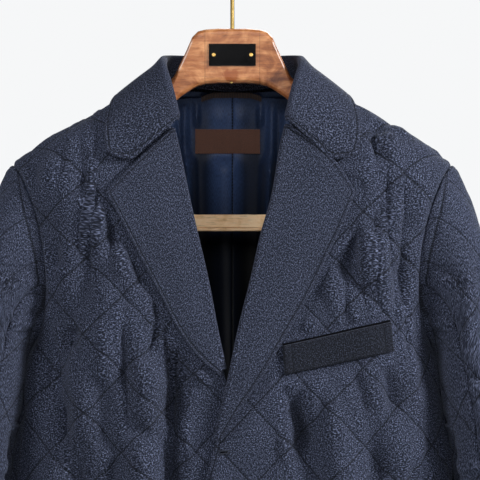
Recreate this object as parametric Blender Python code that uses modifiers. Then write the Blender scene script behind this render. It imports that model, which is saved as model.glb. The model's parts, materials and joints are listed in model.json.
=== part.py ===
"""Quilted blazer on a wooden hanger.

The origin is the highest point inside the hanger's hook, where a rail carries it. +X is the viewer's
right with the jacket's front towards the viewer, -Y is the front and +Z is up. Sizes are in
millimetres and become metres when a mesh is made. Left and right are the wearer's, so the left front
lies on +X.

The cloth is cut flat and then hung. A panel's flat pattern has two coordinates: across, the distance
along the cloth from the centre line, and height, which is the true height below the shoulder and is
unrolled over the shoulder. The hung shapes turn flat coordinates into places in space.
"""
import math

import bmesh
import bpy
import numpy as np
from mathutils import Vector
from mathutils.geometry import delaunay_2d_cdt

MM = 0.001
SEAM_GAP = 0.3
LAYER_GAP = 1.4

# Cloth thicknesses
QUILT_WALL = 2.6
QUILT_PUFF = 3.2
SLEEVE_PUFF = 2.4
LAPEL_WALL = 3.0
COLLAR_WALL = 3.0
WELT_WALL = 2.4
LINING_WALL = 1.0
LABEL_WALL = 1.0

# Diamond quilting: the diagonals of one diamond
DIAMOND_WIDTH = 76.0
DIAMOND_HEIGHT = 81.0
SEAM_FLATTENS = 12.0
# A crossing of the quilt lines on each panel, across and height in the flat
LEFT_QUILT = (136, -363)
RIGHT_QUILT = (-190, -450)
BACK_QUILT = (0, -242)
SLEEVE_TOP_QUILT = (0, -300)
SLEEVE_UNDER_QUILT = (0, -450)

# The body's heights, from the neck down to the hem: half width, and depth to the front and the back
BODY_COLUMNS = ("height", "half_width", "front_depth", "back_depth")
BODY = np.array((
    (-870, 250, 62, 60),
    (-700, 242, 68, 58),
    (-556, 229, 74, 58),
    (-494, 220, 76, 61),
    (-447, 212, 75, 64),
    (-415, 204, 74, 65),
    (-380, 206, 71, 65),
    (-330, 215, 66, 62),
    (-280, 229, 61, 57),
    (-236, 246, 54, 52),
    (-150, 252, 43, 42),
    (-100, 252, 36, 36),
), dtype=float)

# The shoulder line as seen from the front
SHOULDER_COLUMNS = ("across", "height")
SHOULDER = np.array((
    (0, -116),
    (40, -126),
    (75, -143),
    (120, -169),
    (160, -191),
    (200, -214),
    (228, -236),
    (250, -256),
), dtype=float)
SHOULDER_DROP = 56.0
SHOULDER_ROUND = 86.0
SIDE_ROUND = 0.36

NECK_POINT = 82.0
SHOULDER_TIP = 228.0
UNDERARM = -415.0
BACK_NECK = -156.0
HEM = -866.0
HEM_CORNER = 55.0

ARMHOLE_BITE = 20.0

# The sleeve from armhole to cuff: its outer and inner line from the front, its half depth and how far
# forward it hangs
SLEEVE_COLUMNS = ("down", "outer_x", "outer_z", "inner_x", "inner_z", "half_depth", "forward")
SLEEVE = np.array((
    (0.00, 229, -236, 210, -414, 50, 0),
    (0.08, 240, -256, 211, -418, 56, 0),
    (0.18, 252, -286, 213, -424, 60, 2),
    (0.28, 267, -330, 217, -434, 61, 6),
    (0.38, 283, -388, 221, -454, 60, 16),
    (0.50, 301, -468, 229, -500, 58, 28),
    (0.64, 315, -568, 237, -582, 54, 35),
    (0.82, 328, -712, 248, -718, 47, 41),
    (1.00, 336, -862, 257, -860, 40, 45),
), dtype=float)
ARMHOLE_STEPS = 13
SEAM_STEPS = 8
SLEEVE_SEAM_TURN = math.pi * SEAM_STEPS / ARMHOLE_STEPS
SLEEVE_SEAM_STEPS = 22
UNDERARM_STANDS_OFF = 8.5
ARMHOLE_CREASE = 1.0
ARMHOLE_TRIM = 2.0

# The front edge and the roll line of each front, across and height, from the neck down
LEFT_ROLL = ((64, -170), (57, -203), (43, -270), (34, -301), (22, -353), (9, -405), (-3, -462))
LEFT_EDGE = ((-9, -490), (-17, -520), (-28, -561), (-30, -620), (-30, -700), (-30, -790))
RIGHT_ROLL = ((-66, -170), (-62, -203), (-47, -270), (-40, -301), (-28, -353), (-18, -405), (-7, -455))
RIGHT_EDGE = ((6, -490), (20, -525), (28, -561), (28, -620), (28, -700), (28, -790))
OVERLAP_LIFT = 5.6

# Lapel outer edges, from the tip down
LEFT_LAPEL_ROLL = ((58, -191), (54, -208), (43, -270), (34, -301), (22, -353), (9, -405), (-3, -462),
                   (-10, -492), (-17, -520))
LEFT_LAPEL_EDGE = ((128, -262), (113, -299), (98, -330), (80, -369), (65, -395), (47, -426),
                   (30, -455), (5, -492), (-11, -519))
LEFT_NOTCH = (106, -228)
RIGHT_LAPEL_ROLL = ((-63, -195), (-60, -208), (-47, -270), (-40, -301), (-28, -353), (-18, -405),
                    (-9, -446))
RIGHT_LAPEL_EDGE = ((-132, -262), (-115, -293), (-100, -322), (-74, -371), (-51, -413),
                    (-32, -436), (-13, -452))
RIGHT_NOTCH = (-102, -232)

# The welt of the breast pocket
WELT = ((52, -421.5), (163, -396), (166, -427), (54, -451.5))

# Folds of the hung cloth along straight runs: a soft trough where the depth is above 0, else a ridge.
# The columns are from_x, from_z, to_x, to_z, half_width and depth.
LEFT_FOLDS = np.array((
    (134, -178, 154, -245, 9, 4.0),
    (150, -180, 156, -204, 9, 4.0),
    (126, -292, 118, -358, 11, 6.0),
    (104, -300, 82, -372, 12, 5.0),
    (146, -300, 150, -372, 13, -4.0),
    (66, -392, 64, -418, 8, 4.0),
    (54, -458, 78, -540, 16, 8.0),
    (36, -470, 52, -545, 14, -5.0),
    (160, -432, 168, -500, 13, 4.5),
    (172, -322, 176, -390, 12, 4.0),
    (106, -470, 120, -600, 20, -5.0),
    (142, -500, 146, -660, 18, 5.0),
    (26, -505, 30, -560, 12, 4.0),
    (184, -520, 190, -760, 20, 6.0),
    (70, -600, 84, -800, 24, 6.0),
    (-4, -600, 4, -760, 16, 3.0),
    (120, -660, 132, -840, 24, -6.0),
), dtype=float)
RIGHT_FOLDS = np.array((
    (-143, -260, -140, -280, 8, 4.0),
    (-128, -270, -122, -330, 9, 5.0),
    (-104, -318, -82, -372, 10, 6.0),
    (-86, -372, -62, -398, 9, 5.0),
    (-64, -412, -58, -520, 16, 9.0),
    (-86, -430, -88, -520, 14, -6.0),
    (-66, -500, -62, -630, 16, 8.0),
    (-92, -500, -94, -640, 16, -6.0),
    (-24, -480, -22, -545, 11, 6.0),
    (-40, -470, -38, -560, 11, -5.0),
    (-184, -310, -178, -345, 10, 4.0),
    (-190, -380, -188, -540, 16, 4.5),
    (-168, -395, -166, -430, 10, 4.0),
    (-176, -470, -172, -530, 11, 4.0),
    (-120, -330, -128, -560, 26, -5.0),
    (-198, -220, -200, -262, 9, 3.0),
    (-140, -560, -148, -800, 22, 6.0),
    (-60, -640, -70, -830, 22, 6.0),
    (-105, -640, -112, -840, 20, -6.0),
), dtype=float)
BACK_FOLDS = np.array((
    (150, -290, 120, -470, 18, 6.0),
    (-146, -280, -112, -460, 17, 6.5),
    (178, -330, 168, -560, 16, 5.0),
    (-180, -340, -172, -540, 18, 5.0),
    (60, -330, 70, -640, 24, 5.0),
    (-52, -300, -66, -600, 22, 5.5),
    (110, -560, 128, -850, 24, 7.0),
    (-104, -540, -124, -850, 26, 7.0),
    (30, -620, 34, -860, 20, 6.0),
    (-24, -650, -30, -860, 18, 5.0),
    (88, -400, 98, -640, 22, -5.0),
    (-86, -420, -92, -680, 22, -5.0),
    (186, -600, 196, -850, 20, 6.0),
    (-188, -620, -198, -850, 20, 6.0),
), dtype=float)
UNDER_FOLDS = np.array((
    (-20, -500, 10, -620, 14, 3.0),
    (15, -640, -10, -760, 14, 3.0),
), dtype=float)
SLEEVE_FOLDS = np.array((
    (-10, -300, 60, -420, 14, 4.0),
    (50, -330, 72, -450, 14, 4.0),
    (-50, -340, -74, -460, 15, 4.0),
    (20, -480, 70, -560, 16, 4.0),
    (-30, -520, -80, -600, 16, 4.0),
    (30, -600, 75, -660, 18, 4.0),
    (-20, -640, -70, -700, 18, -3.5),
    (0, -720, 40, -800, 20, 3.5),
    (-44, -730, -30, -820, 18, 3.0),
), dtype=float)

# The lining inside the back neck, with its pleats
LINING_TOP = -161.0
LINING_BOTTOM = -480.0
LINING_ROWS = 9
LINING_HANGS_OFF = (1.6, 7.5)
LINING_PLEATS = (-72, -49, -32, 36, 54, 76)
PLEAT_WIDTH = 4.5
PLEAT_DEPTH = 4.0
LABEL = ((-39, -219), (29, -219), (29, -194), (-39, -194))
LOOP = ((-33, -162), (31, -162), (31, -153.5), (-33, -153.5))
STRIP_STATION = 11.0

# The hanger's wood at each place across: top, bottom, half thickness and how far forward it bends
WOOD_COLUMNS = ("across", "top", "bottom", "half_thickness", "forward")
WOOD = np.array((
    (0.0, -90, -147, 15, 0),
    (28.5, -91, -148, 15, 0),
    (36.0, -93, -150, 15, 0.5),
    (42.0, -99, -153, 15, 1),
    (48.0, -113, -157, 15, 1.5),
    (54.0, -126, -161, 15, 2),
    (61.0, -140, -167, 16, 2),
    (72.0, -151, -177, 16, 2),
    (100.0, -168, -198, 17, 2),
    (135.0, -188, -219, 17, 3),
    (170.0, -208, -242, 15, 4),
    (200.0, -225, -256, 13, 5),
    (212.0, -236, -252, 9, 5),
), dtype=float)
HEAD_HALF = 28.5
WOOD_ROUND = 6.0
ARM_STATIONS = 13

PLATE_WIDTH = 49.0
PLATE_HEIGHT = 23.0
PLATE_CENTRE = -117.5
PLATE_WALL = 1.2
SCREW_SPREAD = 19.5
SCREW_RADIUS = 2.1
SCREW_WALL = 0.9

# The trouser bar's section: depth and height of its corners, with a groove along its front
BAR_CENTRE = -293.0
BAR_SECTION = ((-6.5, 7.6), (-5.5, 8.6), (5.5, 8.6), (6.5, 7.6), (6.5, -7.6), (5.5, -8.6), (-5.5, -8.6),
               (-6.5, -7.6), (-6.5, -5.6), (-5.2, -5.2), (-6.5, -4.8))
BAR_HALF_LENGTH = 167.7
BAR_FORWARD = 4.0
POST_INSIDE = 168.0
POST_WIDTH = 16.0
POST_HALF_DEPTH = 6.0
POST_BOTTOM = -303.5

HEAD_TOP = -90.0
HEAD_HALF_DEPTH = 15.0

HOOK_WIRE = 2.1
HOOK_INSIDE = 21.0
HOOK_STEM_TOP = -58.0
HOOK_SUNK = 16.0

BUTTON_HEIGHTS = (-645.0, -752.0)
BUTTON_ACROSS = -11.0
BUTTON_RADIUS = 11.0
BUTTON_WALL = 3.4

NAVY = (0.030, 0.040, 0.072, 1.0)
NAVY_LINING = (0.012, 0.022, 0.055, 1.0)
WOOD_COLOUR = (0.50, 0.22, 0.09, 1.0)
BAR_COLOUR = (0.62, 0.44, 0.27, 1.0)
BRASS = (0.62, 0.45, 0.20, 1.0)
BROWN_TAPE = (0.06, 0.03, 0.02, 1.0)
BLACK = (0.01, 0.01, 0.01, 1.0)
HORN = (0.03, 0.025, 0.03, 1.0)


# ---------------------------------------------------------------- scene and materials

def clear_scene():
    for obj in list(bpy.data.objects):
        bpy.data.objects.remove(obj, do_unlink=True)


def new_collection(name):
    made = bpy.data.collections.new(name)
    bpy.context.scene.collection.children.link(made)
    return made


def material(name, colour, roughness, metallic=0.0):
    made = bpy.data.materials.new(name)
    made.use_nodes = True
    shader = made.node_tree.nodes["Principled BSDF"]
    shader.inputs["Base Color"].default_value = colour
    shader.inputs["Roughness"].default_value = roughness
    shader.inputs["Metallic"].default_value = metallic
    made.diffuse_color = colour
    return made


def add_mesh(name, points, faces, finish, smooth=True):
    """Makes a closed mesh from points in millimetres, turned so that its faces point out."""
    mesh = bpy.data.meshes.new(name)
    mesh.from_pydata((np.asarray(points) * MM).tolist(), [], [list(face) for face in faces])
    work = bmesh.new()
    work.from_mesh(mesh)
    if work.calc_volume(signed=True) < 0:
        bmesh.ops.reverse_faces(work, faces=work.faces)
    work.to_mesh(mesh)
    work.free()
    mesh.materials.append(finish)
    if smooth:
        mesh.shade_smooth()
        mesh.set_sharp_from_angle(angle=math.radians(40))
    obj = bpy.data.objects.new(name, mesh)
    parts.objects.link(obj)
    return obj


# ---------------------------------------------------------------- curves and small maths

def smooth_step(value):
    value = np.clip(value, 0.0, 1.0)
    return value * value * (3 - 2 * value)


def through(places, xs, ys):
    """A smooth curve through the points (xs, ys), read at the given places."""
    places = np.clip(places, xs[0], xs[-1])
    slopes = np.gradient(ys, xs)
    cell = np.clip(np.searchsorted(xs, places) - 1, 0, len(xs) - 2)
    width = xs[cell + 1] - xs[cell]
    t = (places - xs[cell]) / width
    start = (1 + 2 * t) * (1 - t) ** 2 * ys[cell] + t * (1 - t) ** 2 * width * slopes[cell]
    end = t * t * (3 - 2 * t) * ys[cell + 1] - t * t * (1 - t) * width * slopes[cell + 1]
    return start + end


def column(table, names, key, name, places):
    return through(places, table[:, names.index(key)], table[:, names.index(name)])


def quarter_length(a, b):
    """The length of a quarter of an ellipse with half axes a and b."""
    return math.pi / 4 * (3 * (a + b) - np.sqrt((3 * a + b) * (a + 3 * b)))


def resample(points, step):
    """A polyline's corners, with points added so that none are further apart than the step."""
    points = np.asarray(points, float)
    out = [points[:1]]
    for a, b in zip(points[:-1], points[1:]):
        count = max(1, math.ceil(np.linalg.norm(b - a) / step))
        part = np.linspace(0, 1, count + 1)[1:, None]
        out.append(a + (b - a) * part)
    return np.vstack(out)


def spline(points, count):
    """Evenly spaced points on a smooth curve through the given ones."""
    points = np.asarray(points, float)
    along = np.concatenate(([0], np.cumsum(np.linalg.norm(np.diff(points, axis=0), axis=1))))
    places = np.linspace(0, along[-1], count)
    return np.stack([through(places, along, points[:, k]) for k in range(points.shape[1])], axis=1)


def distance_to_line(points, line):
    """Each point's distance to a polyline."""
    best = np.full(len(points), np.inf)
    for a, b in zip(line[:-1], line[1:]):
        run = b - a
        t = np.clip(((points - a) @ run) / max(run @ run, 1e-9), 0, 1)
        best = np.minimum(best, np.linalg.norm(points - (a + t[:, None] * run), axis=1))
    return best


def inside(points, outline):
    """Whether each point lies inside a closed outline."""
    x, y = points[:, 0], points[:, 1]
    found = np.zeros(len(points), bool)
    for (ax, ay), (bx, by) in zip(outline, np.roll(outline, -1, axis=0)):
        crosses = (ay > y) != (by > y)
        rise = by - ay if by != ay else 1e-9
        found ^= crosses & (x < (bx - ax) * (y - ay) / rise + ax)
    return found


def folds(points, table):
    """How far the folds push the cloth out, in millimetres: below 0 in a trough."""
    push = np.zeros(len(points))
    for from_x, from_z, to_x, to_z, half_width, depth in table:
        start = np.array((from_x, from_z))
        run = np.array((to_x - from_x, to_z - from_z))
        length = np.linalg.norm(run)
        along = (points - start) @ run / length
        aside = (points - start) @ np.array((-run[1], run[0])) / length
        ends = smooth_step(along / (0.35 * length)) * smooth_step((length - along) / (0.35 * length))
        push -= depth * np.exp(-(aside / half_width) ** 2) * ends
    return push


# ---------------------------------------------------------------- the body's hung shape

def body(name, height):
    return column(BODY, BODY_COLUMNS, "height", name, height)


def shoulder_line(across):
    return column(SHOULDER, SHOULDER_COLUMNS, "across", "height", across)


def side_length(height, depth):
    return quarter_length(SIDE_ROUND * body("half_width", height), depth)


def hang(flat, side):
    """Flat (across, height) to space. side is -1 for the front and 1 for the back.

    Over the shoulder and round the side the cloth follows quarter ellipses.
    """
    across, height = np.abs(flat[:, 0]), flat[:, 1]
    depth_name = "front_depth" if side < 0 else "back_depth"
    x, z = across.copy(), height.copy()
    for _ in range(6):
        half_width = body("half_width", z)
        depth = body(depth_name, z)
        start = half_width * (1 - SIDE_ROUND)
        turn = np.clip((across - start) / side_length(z, depth), 0, 1) * math.pi / 2
        x = np.where(across > start, start + half_width * SIDE_ROUND * np.sin(turn), across)
        below = shoulder_line(x) + SHOULDER_ROUND - SHOULDER_DROP - height
        dip = np.clip(below / SHOULDER_ROUND, 0, 1) * math.pi / 2
        drop = np.where(below < SHOULDER_ROUND, SHOULDER_DROP * (1 - np.cos(dip)),
                        below - SHOULDER_ROUND + SHOULDER_DROP)
        z = shoulder_line(x) - drop
    y = side * body(depth_name, z) * np.cos(turn) * np.sin(dip)
    return np.stack((np.sign(flat[:, 0]) * x, y, z), axis=1)


def flatten(seen, side):
    """The flat coordinates of points given as seen from the front, (across, height)."""
    seen = np.asarray(seen, float)
    x, z = np.abs(seen[:, 0]), seen[:, 1]
    half_width = body("half_width", z)
    depth = body("front_depth" if side < 0 else "back_depth", z)
    start = half_width * (1 - SIDE_ROUND)
    turn = np.arcsin(np.clip((x - start) / (half_width * SIDE_ROUND), 0, 1))
    across = np.where(x > start, start + side_length(z, depth) * turn / (math.pi / 2), x)
    drop = shoulder_line(x) - z
    dip = np.arccos(np.clip(1 - drop / SHOULDER_DROP, 0, 1))
    rolled = shoulder_line(x) + SHOULDER_ROUND - SHOULDER_DROP - SHOULDER_ROUND * dip / (math.pi / 2)
    height = np.where(drop < SHOULDER_DROP, rolled, z)
    return np.stack((np.sign(seen[:, 0]) * across, height), axis=1)


def with_normals(place, flat, inward, outward):
    """Points and unit normals of a surface, from small steps towards the panel's middle."""
    step = 0.5
    towards = np.where(flat[:, :1] >= 0, -1.0, 1.0) * inward
    here = place(flat)
    across = (here - place(flat + towards * np.array((step, 0.0)))) * towards
    down = place(flat - np.array((0.0, step))) - here
    normal = np.cross(across, down) * outward
    return here, normal / np.maximum(np.linalg.norm(normal, axis=1, keepdims=True), 1e-9)


def body_surface(side, fold_table, lift=None, calm=None):
    """The hung body as a function from flat points to places and outward normals."""
    def surface(flat):
        here, normal = with_normals(lambda p: hang(p, side), flat, 1.0, -side)
        push = folds(flat, fold_table)
        if calm is not None:
            push = push * calm(flat)
        if lift is not None:
            push = push + lift(flat)
        return here + normal * push[:, None], normal
    return surface


# ---------------------------------------------------------------- cutting panels

def quilting(flat, phase):
    """The height of the padding between the quilt lines, from 0 on a line to 1 mid diamond."""
    across = (flat[:, 0] - phase[0]) / DIAMOND_WIDTH
    height = (flat[:, 1] - phase[1]) / DIAMOND_HEIGHT
    first = np.abs(np.sin(math.pi * (across + height)))
    second = np.abs(np.sin(math.pi * (across - height)))
    return np.sqrt(first * second)


def lattice(low, high, phase, parts_each_way):
    """The crossings of the quilt lines and of the finer lines between them."""
    reach = int(max((high[0] - low[0]) / DIAMOND_WIDTH, (high[1] - low[1]) / DIAMOND_HEIGHT)) * 2 + 4
    steps = np.arange(-reach * parts_each_way, reach * parts_each_way + 1) / parts_each_way
    first, second = np.meshgrid(steps, steps)
    middle = (np.asarray(low) + np.asarray(high)) / 2
    centre_u = round((middle[0] - phase[0]) / DIAMOND_WIDTH + (middle[1] - phase[1]) / DIAMOND_HEIGHT)
    centre_v = round((middle[0] - phase[0]) / DIAMOND_WIDTH - (middle[1] - phase[1]) / DIAMOND_HEIGHT)
    first = first.ravel() + centre_u
    second = second.ravel() + centre_v
    across = phase[0] + DIAMOND_WIDTH * (first + second) / 2
    height = phase[1] + DIAMOND_HEIGHT * (first - second) / 2
    return np.stack((across, height), axis=1)


def cut(outline, points, margin):
    """Triangulates a flat outline with the inner points that keep the margin from it."""
    keep = inside(points, outline)
    points = points[keep]
    closed = np.vstack((outline, outline[:1]))
    points = points[distance_to_line(points, closed) > margin]
    edges = [(k, (k + 1) % len(outline)) for k in range(len(outline))]
    every = [Vector(p) for p in np.vstack((outline, points)).tolist()]
    made = delaunay_2d_cdt(every, edges, [], 1, 1e-4)
    return np.array([tuple(p) for p in made[0]]), [tuple(face) for face in made[2]]


def rim(faces):
    """The directed edges that only one triangle uses."""
    used = {}
    for face in faces:
        for k in range(len(face)):
            used[(face[k], face[(k + 1) % len(face)])] = True
    return [edge for edge in used if (edge[1], edge[0]) not in used]


def closed_wall(name, inner, outer, faces, finish):
    """A wall between two sheets of the same layout, closed along its rim."""
    count = len(inner)
    body_faces = [tuple(k + count for k in face) for face in faces]
    body_faces += [tuple(reversed(face)) for face in faces]
    for a, b in rim(faces):
        body_faces.append((a, b, b + count))
        body_faces.append((a, b + count, a + count))
    return add_mesh(name, np.vstack((inner, outer)), body_faces, finish)


def panel(name, outline, surface, finish, wall, phase=(0, 0), fineness=2, puff=0.0, flat_where=None,
          offset=0.0):
    """A cut panel: a plain inner sheet, and an outer sheet that rises between the quilt lines."""
    outline = np.asarray(outline, float)
    points = lattice(outline.min(0), outline.max(0), phase, fineness)
    margin = 0.42 * DIAMOND_WIDTH / fineness / math.sqrt(2)
    flat, faces = cut(outline, points, margin)
    here, normal = surface(flat)
    raised = np.zeros(len(flat))
    if puff > 0:
        edge = distance_to_line(flat, np.vstack((outline, outline[:1])))
        raised = puff * quilting(flat, phase) * smooth_step(edge / SEAM_FLATTENS)
        if flat_where is not None:
            raised = raised * flat_where(flat)
    inner = here + normal * offset
    outer = here + normal * (offset + wall + raised)[:, None]
    return closed_wall(name, inner, outer, faces, finish)


def grid_faces(rows, columns):
    faces = []
    for r in range(rows - 1):
        for c in range(columns - 1):
            a, b = r * columns + c, r * columns + c + 1
            d, e = a + columns, b + columns
            if (r + c) % 2:
                faces += [(a, b, e), (a, e, d)]
            else:
                faces += [(a, b, d), (b, e, d)]
    return faces


def grid_wall(name, inner, outer, finish):
    """A wall between two grids of points with rows and columns."""
    rows, columns = inner.shape[:2]
    return closed_wall(name, inner.reshape(-1, 3), outer.reshape(-1, 3), grid_faces(rows, columns),
                       finish)


# ---------------------------------------------------------------- outlines in the flat

def armhole(turn):
    """The armhole as seen from the front. A turn of 0 is the shoulder tip and pi the underarm."""
    top = float(shoulder_line(np.array(SHOULDER_TIP)))
    half_x = (SHOULDER_TIP - float(body("half_width", np.array(UNDERARM)))) / 2
    half_z = (top - UNDERARM) / 2
    bite = ARMHOLE_BITE * np.abs(np.sin(turn)) ** 1.4
    across = SHOULDER_TIP - half_x + half_x * np.cos(turn) - bite
    height = top - half_z + half_z * np.cos(turn)
    return np.stack((across, height), axis=1)


def armhole_edge(sign, side):
    """The armhole's flat edge on one panel, from the shoulder tip to the underarm."""
    turn = np.linspace(0, math.pi, ARMHOLE_STEPS + 1)
    seen = armhole(turn)
    flat = flatten(seen, side)
    along = np.gradient(flat, axis=0)
    inward = np.stack((along[:, 1], -along[:, 0]), axis=1)
    inward /= np.linalg.norm(inward, axis=1, keepdims=True)
    flat = flat + inward * ARMHOLE_TRIM
    return flat[1:-1] * np.array((sign, 1))


def shoulder_edge(sign):
    """The shoulder seam in the flat, from the neck point to the shoulder tip."""
    across = np.linspace(NECK_POINT, SHOULDER_TIP - 0.6 * ARMHOLE_TRIM, 9)
    flat = flatten(np.stack((across, shoulder_line(across)), axis=1), -1)
    flat[:, 1] -= SEAM_GAP / 2
    return flat * np.array((sign, 1))


def side_edge(sign, side):
    """The side seam in the flat, from the underarm to the hem."""
    heights = np.linspace(UNDERARM - ARMHOLE_TRIM, HEM, 19)
    depth = body("front_depth" if side < 0 else "back_depth", heights)
    start = body("half_width", heights) * (1 - SIDE_ROUND)
    across = start + side_length(heights, depth) - SEAM_GAP / 2
    return np.stack((across * sign, heights), axis=1)


def front_outline(sign, roll, edge):
    """One front in the flat: shoulder, armhole, side, hem, front edge and roll line."""
    side = -1
    shoulder = shoulder_edge(sign)
    arm = armhole_edge(sign, side)
    seam = side_edge(sign, side)
    foot = np.array(edge[-1], float)
    corner = [(foot[0] + sign * HEM_CORNER * (1 - math.cos(t)), HEM + HEM_CORNER * (1 - math.sin(t)))
              for t in np.linspace(math.pi / 2, 0, 5)]
    hem = resample([seam[-1], corner[0]], 24)
    front = resample(corner + list(reversed(edge)), 22)
    rolled = flatten(spline(list(reversed(roll)), 15), side)
    neck = flatten([(sign * 71, -161), (sign * 77, -152)], side)
    return np.vstack((shoulder, arm, seam, hem[1:], front[1:], rolled, neck))


def back_outline(sign):
    """One half of the back in the flat, with the centre seam."""
    side = 1
    shoulder = shoulder_edge(sign)
    arm = armhole_edge(sign, side)
    seam = side_edge(sign, side)
    hem = resample([seam[-1], (sign * SEAM_GAP / 2, HEM)], 24)
    centre = resample([hem[-1], (sign * SEAM_GAP / 2, BACK_NECK)], 24)
    neck = flatten([(sign * 25, BACK_NECK), (sign * 50, BACK_NECK + 1), (sign * 72, BACK_NECK + 5)],
                   side)
    return np.vstack((shoulder, arm, seam, hem[1:], centre[1:], neck))


def region(roll, edge):
    """The closed outline of a lapel as seen from the front."""
    return np.vstack((np.array(roll, float), np.array(edge, float)[::-1]))


def keep_flat(outline, margin):
    """1 away from an outline and 0 inside it, with a soft border of the margin's width."""
    closed = np.vstack((outline, outline[:1]))

    def measure(flat):
        away = np.where(inside(flat, outline), 0.0, distance_to_line(flat, closed))
        return smooth_step((away - 6.0) / margin)
    return measure


def both(*measures):
    return lambda flat: np.prod([measure(flat) for measure in measures], axis=0)


# ---------------------------------------------------------------- fronts, back and what lies on them

LEFT_LAPEL_SHAPE = region(LEFT_LAPEL_ROLL, LEFT_LAPEL_EDGE)
RIGHT_LAPEL_SHAPE = region(RIGHT_LAPEL_ROLL, RIGHT_LAPEL_EDGE)
WELT_SHAPE = flatten(WELT, -1)
COLLAR_ZONE_LEFT = np.array(((50, -120), (60, -200), (106, -228), (133, -224), (128, -168), (95, -130)))
COLLAR_ZONE_RIGHT = COLLAR_ZONE_LEFT * np.array((-1, 1))
OVERLAP_ZONE = np.array(((-36, -470), (40, -470), (40, -900), (-36, -900)))


def overlap_lift(flat):
    """The left front stands off where the right front lies under it."""
    across = smooth_step((112 - flat[:, 0]) / 74)
    height = smooth_step((-395 - flat[:, 1]) / 60)
    return OVERLAP_LIFT * across * height


def left_calm():
    return both(keep_flat(LEFT_LAPEL_SHAPE, 12.0), keep_flat(WELT_SHAPE, 8.0),
                keep_flat(COLLAR_ZONE_LEFT, 12.0), keep_flat(OVERLAP_ZONE, 12.0))


def right_calm():
    return both(keep_flat(RIGHT_LAPEL_SHAPE, 12.0), keep_flat(COLLAR_ZONE_RIGHT, 12.0),
                keep_flat(OVERLAP_ZONE, 12.0))


def button_places():
    """Small flat patches under the buttons."""
    half = BUTTON_RADIUS - 2
    corners = np.array(((-half, -half), (half, -half), (half, half), (-half, half)))
    return [keep_flat(corners + np.array((BUTTON_ACROSS, height)), 6.0) for height in BUTTON_HEIGHTS]


def build_fronts():
    quilted = both(keep_flat(LEFT_LAPEL_SHAPE, 8.0), keep_flat(WELT_SHAPE, 6.0),
                   keep_flat(COLLAR_ZONE_LEFT, 8.0), *button_places())
    surface = body_surface(-1, LEFT_FOLDS, overlap_lift, left_calm())
    panel("front_left", front_outline(1, LEFT_ROLL, LEFT_EDGE), surface, wool, QUILT_WALL,
          LEFT_QUILT, 3, QUILT_PUFF, quilted)
    quilted = both(keep_flat(RIGHT_LAPEL_SHAPE, 8.0), keep_flat(COLLAR_ZONE_RIGHT, 8.0),
                   keep_flat(OVERLAP_ZONE, 8.0))
    surface = body_surface(-1, RIGHT_FOLDS, None, right_calm())
    panel("front_right", front_outline(-1, RIGHT_ROLL, RIGHT_EDGE), surface, wool, QUILT_WALL,
          RIGHT_QUILT, 3, QUILT_PUFF, quilted)


def build_back():
    zone = np.array(((-110, -100), (-110, -176), (110, -176), (110, -100)), float)
    quilted = keep_flat(zone, 10.0)
    for sign, name in ((1, "back_left"), (-1, "back_right")):
        surface = body_surface(1, BACK_FOLDS, None, quilted)
        panel(name, back_outline(sign), surface, wool, QUILT_WALL, BACK_QUILT, 2, QUILT_PUFF, quilted)


def build_welt():
    outline = resample(np.vstack((WELT_SHAPE, WELT_SHAPE[:1])), 20)[:-1]
    surface = body_surface(-1, LEFT_FOLDS, overlap_lift, left_calm())
    panel("pocket_welt", outline, surface, wool_plain, WELT_WALL, fineness=3,
          offset=QUILT_WALL + LAYER_GAP)


# A lapel's section at its roll line. Its columns are how far the inner face lies across from the line
# and off the cloth, and the same for the outer face.
LAPEL_SECTION = np.array((
    (9.0, -0.8, 9.0, -3.6),
    (0.2, -0.8, -0.8, -3.6),
    (-0.9, 0.0, -3.4, -0.6),
    (-0.9, 3.4, -3.4, 4.2),
    (0.2, 4.4, -0.8, 7.0),
), dtype=float)
# The same where the fronts overlap and the lapel no longer turns in behind the edge
LAPEL_SECTION_BELOW = np.array((
    (-0.9, -0.6, -2.6, -1.8),
    (-0.9, -0.3, -3.2, -1.2),
    (-0.9, 0.2, -3.4, -0.2),
    (-0.9, 3.4, -3.4, 4.2),
    (0.2, 4.4, -0.8, 7.0),
), dtype=float)
LAPEL_TUCK_ENDS = -440.0
LAPEL_COLUMNS = 5
LAPEL_ROWS = 16
LAPEL_ROLL_HEIGHT = 2.5


def lapel(name, roll, edge, notch, fold_table, lift, calm):
    """The turned-back lapel: rows run from the roll line to the outer edge."""
    start = spline(roll, LAPEL_ROWS)
    finish = spline(edge, LAPEL_ROWS)
    along = np.gradient(start, axis=0)
    square = np.stack((-along[:, 1], along[:, 0]), axis=1)
    square *= np.sign(edge[0][0]) / np.linalg.norm(square, axis=1, keepdims=True)
    surface = body_surface(-1, fold_table, lift, calm)
    inner_rows, outer_rows = [], []
    for row in range(LAPEL_ROWS):
        run = finish[row] - start[row]
        width = np.linalg.norm(run)
        aside = run / width
        shares = np.linspace(0, 1, LAPEL_COLUMNS + 1)[1:]
        tuck = float(smooth_step((start[row][1] - LAPEL_TUCK_ENDS) / 40.0))
        section = LAPEL_SECTION * tuck + LAPEL_SECTION_BELOW * (1 - tuck)
        spread = (0.2 + shares * (width - 0.2))[:, None] * aside
        roll_over = LAPEL_ROLL_HEIGHT * min(1.0, width / 40.0) * np.sin(shares * math.pi) ** 2
        off_in = np.concatenate((section[:, 1], 4.2 + roll_over))
        off_out = np.concatenate((section[:, 3], 4.2 + LAPEL_WALL + roll_over))
        bend = bend_to_notch(start[0], notch, finish[0], row)
        bent = bend * np.sin(shares * math.pi)[:, None]
        for across, off, rows in ((section[:, 0], off_in, inner_rows),
                                  (section[:, 2], off_out, outer_rows)):
            seen = start[row] + np.vstack((across[:, None] * square[row], spread + bent))
            here, normal = surface(flatten(seen, -1))
            rows.append(here + normal * off[:, None])
    return grid_wall(name, np.array(inner_rows), np.array(outer_rows), wool_plain)


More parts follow.
